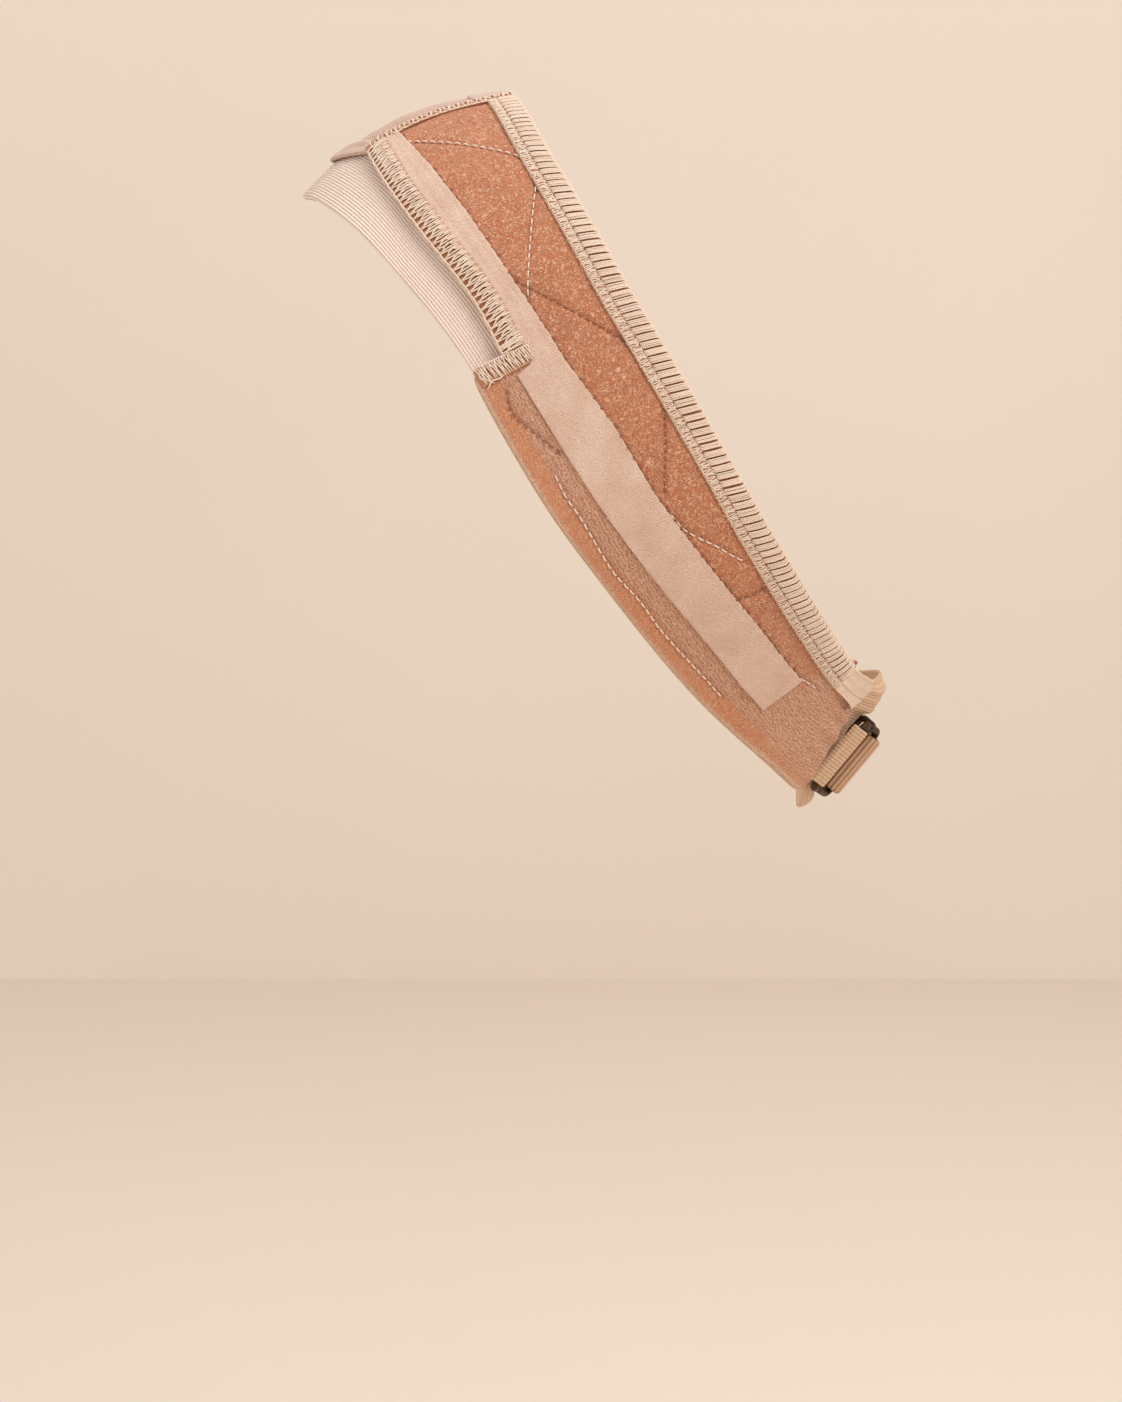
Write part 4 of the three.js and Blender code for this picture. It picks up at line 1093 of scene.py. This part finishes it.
# ---------------------------------------------------------------- forehead elastic
def forehead():
    rows = [(np.array(a) * (-1, 1, 1), np.array(b) * (-1, 1, 1)) for a, b in ELASTIC[:0:-1]] + [(np.array(a), np.array(b)) for a, b in ELASTIC]
    front, rear = np.array([r[0] for r in rows], float), np.array([r[1] for r in rows], float)
    s = np.linspace(0, len(rows) - 1, 1600)
    middle = settle((rail(front, s) + rail(rear, s)) / 2)[0]
    run = lengths(middle)
    at = spread(run[-1], 1.35, rim=(0, 0.1, 0.3, 0.5))
    S = np.interp(at, run, s)
    ribs, per = 20, 5
    u = spread(1.0, 1.0 / (ribs * per), rim=(0, 0.006, 0.02, 0.04))
    F_, R_ = rail(front, S), rail(rear, S)
    raw = F_[:, None] * (1 - u[None, :, None]) + R_[:, None] * u[None, :, None]
    wide = np.linalg.norm(F_ - R_, axis=-1)
    visible = 1 - 0.0 * u
    W = u[None] * np.broadcast_to(wide[:, None], (len(S), len(u)))
    period = 0.78
    # the rear part lies in the shade of the overlocking
    shade = np.clip((u[None] - 0.66) / 0.25, 0, 1) * 0.35 * np.ones((len(S), 1))
    cloth = np.stack([np.broadcast_to(at[:, None], W.shape), W, shade], -1)

    def bump(q, d):
        return 0.13 * np.cos(W * 2 * np.pi / period) + 0.05 * np.sin(at[:, None] * 0.35)

    v, f, c, _ = padded_wall(raw, 0.72, 0.46, None, cloth, bump)
    return Shape().add(v, f, 0, c), run[-1]


# ---------------------------------------------------------------- nape band
def nape():
    x = spread(58.0, 0.9) - 29.0
    u = spread(2.0, 0.028, rim=(0, 0.006, 0.02, 0.045)) - 1.0
    half = 20.6 - 8.6 * np.abs(x / 24) ** 1.7
    middle = NAPE_MIDDLE + np.stack([x, 0 * x, 2.9 * (x / 24) ** 2], -1)
    raw = middle[:, None] + NAPE_DOWN * (u[None, :, None] * half[:, None, None])
    up_mm = -u * 20.6
    relief = np.interp(up_mm, [r[0] for r in NAPE_RELIEF], [r[1] for r in NAPE_RELIEF])
    # rounded steps
    kernel = np.exp(-(np.linspace(-1.2, 1.2, 49) / 0.45) ** 2)
    line = np.linspace(-22, 22, 881)
    smooth = np.convolve(np.interp(line, [r[0] for r in NAPE_RELIEF], [r[1] for r in NAPE_RELIEF]), kernel / kernel.sum(), "same")
    relief = np.interp(up_mm, line, smooth)
    relief = np.where(abs(up_mm) > 19.6, np.interp(up_mm, [r[0] for r in NAPE_RELIEF], [r[1] for r in NAPE_RELIEF]), relief)
    high = relief[None] + (1.2 - relief[None]) * ease((abs(x)[:, None] - 10) / 8)
    W = up_mm[None] + 0 * x[:, None]
    cloth = np.stack([x[:, None] + 0 * W, W, 0 * W], -1)

    def bump(q, d):
        return 0.05 * np.cos(W * 2 * np.pi / 0.95) + 0.14 * np.sin(W * 2 * np.pi / 3.4) * (W > 8.5)

    v, f, c, _ = padded_wall(raw, high - 0.5, 0.5, None, cloth, bump)
    return Shape().add(v, f, 0, c)


# ---------------------------------------------------------------- fastening
def place(x, out, up):
    return np.asarray(x)[..., None] * ACROSS + np.asarray(out)[..., None] * OUT + np.asarray(up)[..., None] * UP


def wire_ring(bar_a, bar_b, level=-73.0, radius=0.92, tall=10.45, corner=1.8):
    a, b = place(*bar_a, level), place(*bar_b, level)
    along, middle, half = unit(b - a), (a + b) / 2, np.linalg.norm(b - a) / 2
    normal = unit(np.cross(along, UP))
    path = []
    for k, (sx, sy) in enumerate(((1, 1), (-1, 1), (-1, -1), (1, -1))):
        for d in np.linspace(0, 90, 9):
            angle = math.radians(90 * k + d)
            path.append((sx * (half - corner) + corner * math.cos(angle), sy * (tall - corner) + corner * math.sin(angle)))
    path = np.array(path)
    dense = []
    for k in range(len(path)):
        p, q = path[k], path[(k + 1) % len(path)]
        n = max(1, int(np.linalg.norm(q - p) / 1.2))
        dense += [p + (q - p) * i / n for i in range(n)]
    path = np.array(dense)
    n, sides = len(path), 20
    run = unit(np.roll(path, -1, 0) - np.roll(path, 1, 0))
    run3 = run[:, :1] * along + run[:, 1:] * UP
    side = np.cross(run3, normal)
    centre = middle + path[:, :1] * along + path[:, 1:] * UP
    angle = np.arange(sides) * 2 * np.pi / sides
    v = centre[:, None] + radius * (np.cos(angle)[None, :, None] * side[:, None] + np.sin(angle)[None, :, None] * normal)
    k, m = np.meshgrid(np.arange(n), np.arange(sides), indexing="ij")
    k1, m1 = (k + 1) % n, (m + 1) % sides
    f = np.stack([k * sides + m, k1 * sides + m, k1 * sides + m1, k * sides + m1], -1).reshape(-1, 4)
    return v.reshape(-1, 3), f


def swept(profile, level, half, edge, steps=14, across_at=None, ripple=None):
    """A closed profile (x, out) run along UP, with its ends rounded over by edge mm. ripple is (pitch, depth) of ribs
    that run round the profile, one after another along UP."""
    profile = np.asarray(profile, float)
    n = len(profile)
    nxt, prv = np.roll(profile, -1, 0), np.roll(profile, 1, 0)
    run = unit(nxt - prv)
    inward = np.stack([-run[:, 1], run[:, 0]], -1)
    area = 0.5 * np.sum(profile[:, 0] * nxt[:, 1] - nxt[:, 0] * profile[:, 1])
    if area < 0:
        inward = -inward
    heights, insets = [], []
    for a in np.linspace(90, 0, 6):
        r = math.radians(a)
        heights.append(-half + edge - edge * math.sin(r))
        insets.append(edge - edge * math.cos(r))
    mids = np.linspace(-half + edge, half - edge, steps + 1)[1:-1]
    H = np.concatenate([heights, mids, [-h for h in heights[::-1]]])
    I = np.concatenate([insets, 0 * mids, insets[::-1]])
    if ripple is not None:
        I = I + ripple[1] * (1 - np.abs(np.cos(H * np.pi / ripple[0])))
    rings = profile[None] + inward[None] * I[:, None, None]
    v = place(rings[..., 0], rings[..., 1], level + H[:, None] + 0 * rings[..., 0])
    R = len(H)
    k, m = np.meshgrid(np.arange(R - 1), np.arange(n), indexing="ij")
    m1 = (m + 1) % n
    f = np.stack([k * n + m, k * n + m1, (k + 1) * n + m1, (k + 1) * n + m], -1).reshape(-1, 4)
    # caps: strips across from one side of the profile to the other
    def cap(start, flip):
        quads = []
        a, b = 0, n - 1
        while b - a >= 2:
            quad = [start + a, start + a + 1, start + b - 1, start + b]
            if b - a == 2:
                quad = [start + a, start + a + 1, start + b, start + b]
            quads.append(quad[::-1] if flip else quad)
            a, b = a + 1, b - 1
        return np.array(quads)
    first, last = cap(0, False), cap((R - 1) * n, True)
    if across_at is None:
        across_at = np.concatenate([[0], np.cumsum(np.linalg.norm(nxt - profile, axis=1))[:-1]])
    up_at, round_at = level + H[:, None] + 0 * rings[..., 0], across_at[None] + 0 * rings[..., 0]
    cloth = np.stack([up_at, round_at, 0 * up_at] if ripple is None else [round_at, up_at - level, 0 * up_at], -1)
    return v.reshape(-1, 3), np.concatenate([f, first, last]), cloth.reshape(-1, 3)


def arc(x, out, radius, start, end, n):
    angle = np.linspace(start, end, n)
    return np.stack([x + radius * np.cos(angle), out + radius * np.sin(angle)], -1)


def rippled(profile, period, depth, where=None):
    closed = np.vstack([profile, profile[:1]])
    run = lengths(closed)
    at = np.linspace(0, run[-1], int(run[-1] / 0.16), endpoint=False)
    p = np.stack([np.interp(at, run, closed[:, k]) for k in (0, 1)], -1)
    # round off the profile's corners a little
    for _ in range(4):
        p = 0.25 * np.roll(p, 1, 0) + 0.5 * p + 0.25 * np.roll(p, -1, 0)
    direction = unit(np.roll(p, -1, 0) - np.roll(p, 1, 0))
    outward = np.stack([direction[:, 1], -direction[:, 0]], -1)
    area = 0.5 * np.sum(p[:, 0] * np.roll(p[:, 1], -1) - np.roll(p[:, 0], -1) * p[:, 1])
    if area < 0:
        outward = -outward
    ripple = depth * (np.abs(np.cos(at * np.pi / period)) - 1.0)
    if where is not None:
        ripple = ripple * where(p)
    return p + outward * ripple[:, None], at


def strap():
    x, out = BARS["strap"]
    outline = np.vstack([arc(x, out, 2.6, -np.pi / 2, np.pi / 2, 40), arc(-x, out, 2.6, np.pi / 2, 1.5 * np.pi, 40)])
    profile, at = rippled(outline, STRAP_RIB, 0.36)
    v, f, c = swept(profile, -73.0, 8.7, 0.9, 14, at)
    return Shape().add(v, f, 0, c)


def end_loop():
    x, out = BARS["loop"]
    tail = np.array([21.2, 173.9])
    lean = math.atan2(tail[1] - out, tail[0] - x)
    ring = arc(x, out, 2.05, lean + 0.62, lean + 2 * np.pi - 0.62, 60)
    off = np.array([-math.sin(lean), math.cos(lean)]) * 0.8
    outline = np.vstack([ring, [tail - off], [tail + off]])
    profile, _ = rippled(outline, 1.25, 0.0)
    v, f, c = swept(profile[::2], -73.0, 8.9, 0.5, 110, None, (0.95, 0.08))
    return Shape().add(v, f, 0, c)


# ---------------------------------------------------------------- stitching on the panels
def stitching():
    shape = Shape()
    for tone, line in LINES:
        run = lengths(line)
        long, gap = (1.55, 0.75) if tone == "pale" else (1.0, 0.95)
        starts = np.arange(0.2, run[-1] - long, long + gap)
        starts = starts + RNG.uniform(-0.1, 0.1, len(starts))
        q, n = settle(line)
        rows = []
        for share, h in ((0, 3.05), (0.15, 3.42), (0.5, 3.58), (0.85, 3.42), (1.0, 3.05)):
            at = starts + long * share
            i = np.clip(np.searchsorted(run, at), 1, len(run) - 1)
            w = ((at - run[i - 1]) / (run[i] - run[i - 1]))[:, None]
            p = q[i - 1] * (1 - w) + q[i] * w
            m = n[i]
            s_lift = 0.0
            on_strip = 0.0
            rows.append(p + m * (h + s_lift + on_strip))
        path = np.stack(rows, 1)
        normal = settle(path)[1]
        size = 0.21 if tone == "pale" else 0.16
        v, f, c = tubes(path, normal, size, size * 0.85, 6)
        shape.add(v, f, 0 if tone == "pale" else 1, c)
    return shape


# ---------------------------------------------------------------- build
def both(make, name, materials, slot, extra=None):
    out = []
    for side, mirror in (("L", False), ("R", True)):
        kind = {"stitching": "", "buckle": "_wire"}.get(name, "_cloth")
        out.append(make.build(f"{name}_{side}{kind}", materials, slot,
                              (f"{name}_{side}",) if name != "stitching" else (), mirror, extra))
    return out


shape, values = panel()
panels = both(shape, "velour_panel", [VELOUR, LINING], "velour", values)
strips = both(grip_strip(), "grip_strip", [STRIP, DARK], "grip_strip")
shape, rear_points, rear_end = rear_border()
rears = both(shape, "rear_border", [THREAD, UNDER, DARK], "overlock")
fronts = both(front_border(), "front_border", [THREAD, UNDER], "overlock")
notches = both(notch_border(), "notch_border", [THREAD, NOTCH_UNDER], "overlock")
seams = both(crown_seam(), "crown_seam", [THREAD, SEAM_UNDER], "overlock")
stitches = both(stitching(), "stitching", [WHITE, DARK], "overlock")
crown = lace().build("crown_lace_net", [LACE, HEM], "lace", ("crown_lace",))
shape, elastic_length = forehead()
forehead_band = shape.build("front_elastic_ribbed", [ELASTIC_MAT], "front_elastic", ("front_elastic",))
nape_piece = nape().build("nape_band_cloth", [TAN], "tan_elastic", ("nape_band",))
loops = both(end_loop(), "end_loop", [TAN], "tan_elastic")
strap_piece = strap().build("adjuster_strap_cloth", [TAN_PLAIN], "tan_elastic", ("adjuster_strap",))
wires = Shape().add(*wire_ring(BARS["loop"], BARS["middle_a"])).add(*wire_ring(BARS["middle_b"], BARS["strap"]))
buckles = both(wires, "buckle", [METAL], "bronze")

# ---------------------------------------------------------------- floor, backdrop and light
def stage_material(name, a, b, scale):
    m = Mat(name)
    at = m.place(0.001)
    soft = m.noise(at, scale, 3.0, 0.5)
    colour = m.mix(m.span(soft, 0.3, 0.7), linear(a), linear(b))
    return m.finish(colour, 0.85, None, specular=0.15)


def plane(name, corners, material):
    mesh = bpy.data.meshes.new(name)
    mesh.from_pydata(corners, [], [(0, 1, 2, 3)])
    mesh.materials.append(material)
    obj = bpy.data.objects.new(name, mesh)
    bpy.context.scene.collection.objects.link(obj)
    return obj


FLOOR_Z, WALL_X = -0.523, -1.7
plane("floor", [(-6, -6, FLOOR_Z), (6, -6, FLOOR_Z), (6, 6, FLOOR_Z), (-6, 6, FLOOR_Z)],
      stage_material("pale_floor", (233, 219, 204), (236, 222, 207), 1.0))
plane("backdrop", [(WALL_X, -6, FLOOR_Z), (WALL_X, 6, FLOOR_Z), (WALL_X, 6, 4), (WALL_X, -6, 4)],
      stage_material("cream_backdrop", (233, 219, 204), (238, 225, 211), 1.2))


def area(name, at, size, watts, tint, aim=(0.0, 0.03, -0.08), shape="SQUARE"):
    light = bpy.data.lights.new(name, "AREA")
    light.shape, light.size, light.energy, light.color = shape, size, watts, tint
    obj = bpy.data.objects.new(name, light)
    obj.location = at
    d = np.array(aim) - np.array(at)
    d /= np.linalg.norm(d)
    obj.rotation_euler = (math.acos(max(-1, min(1, -d[2]))), 0, math.atan2(d[1], d[0]) - math.pi / 2)
    bpy.context.scene.collection.objects.link(obj)
    return obj


area("key", (1.3, 0.9, 1.1), 0.9, 19.5, (1.0, 0.99, 0.97))
area("fill", (1.2, -1.3, 0.5), 1.4, 9, (1.0, 0.99, 0.98))
area("top", (0.0, 0.1, 1.6), 1.2, 9, (1.0, 0.99, 0.97))
area("rear_fill", (-0.3, 1.5, 0.3), 0.9, 3.8, (1.0, 0.98, 0.96))
area("wall_wash", (-0.5, 0.0, 1.3), 1.5, 6.2, (1.0, 1.0, 1.0), aim=(-1.7, 0.0, -0.1))
world = bpy.data.worlds.new("soft_room")
world.use_nodes = True
world.node_tree.nodes["Background"].inputs[0].default_value = linear((250, 246, 242))
world.node_tree.nodes["Background"].inputs[1].default_value = 0.44
bpy.context.scene.world = world
bpy.context.scene.view_settings.view_transform = "Standard"
bpy.context.scene.view_settings.exposure = 0.0
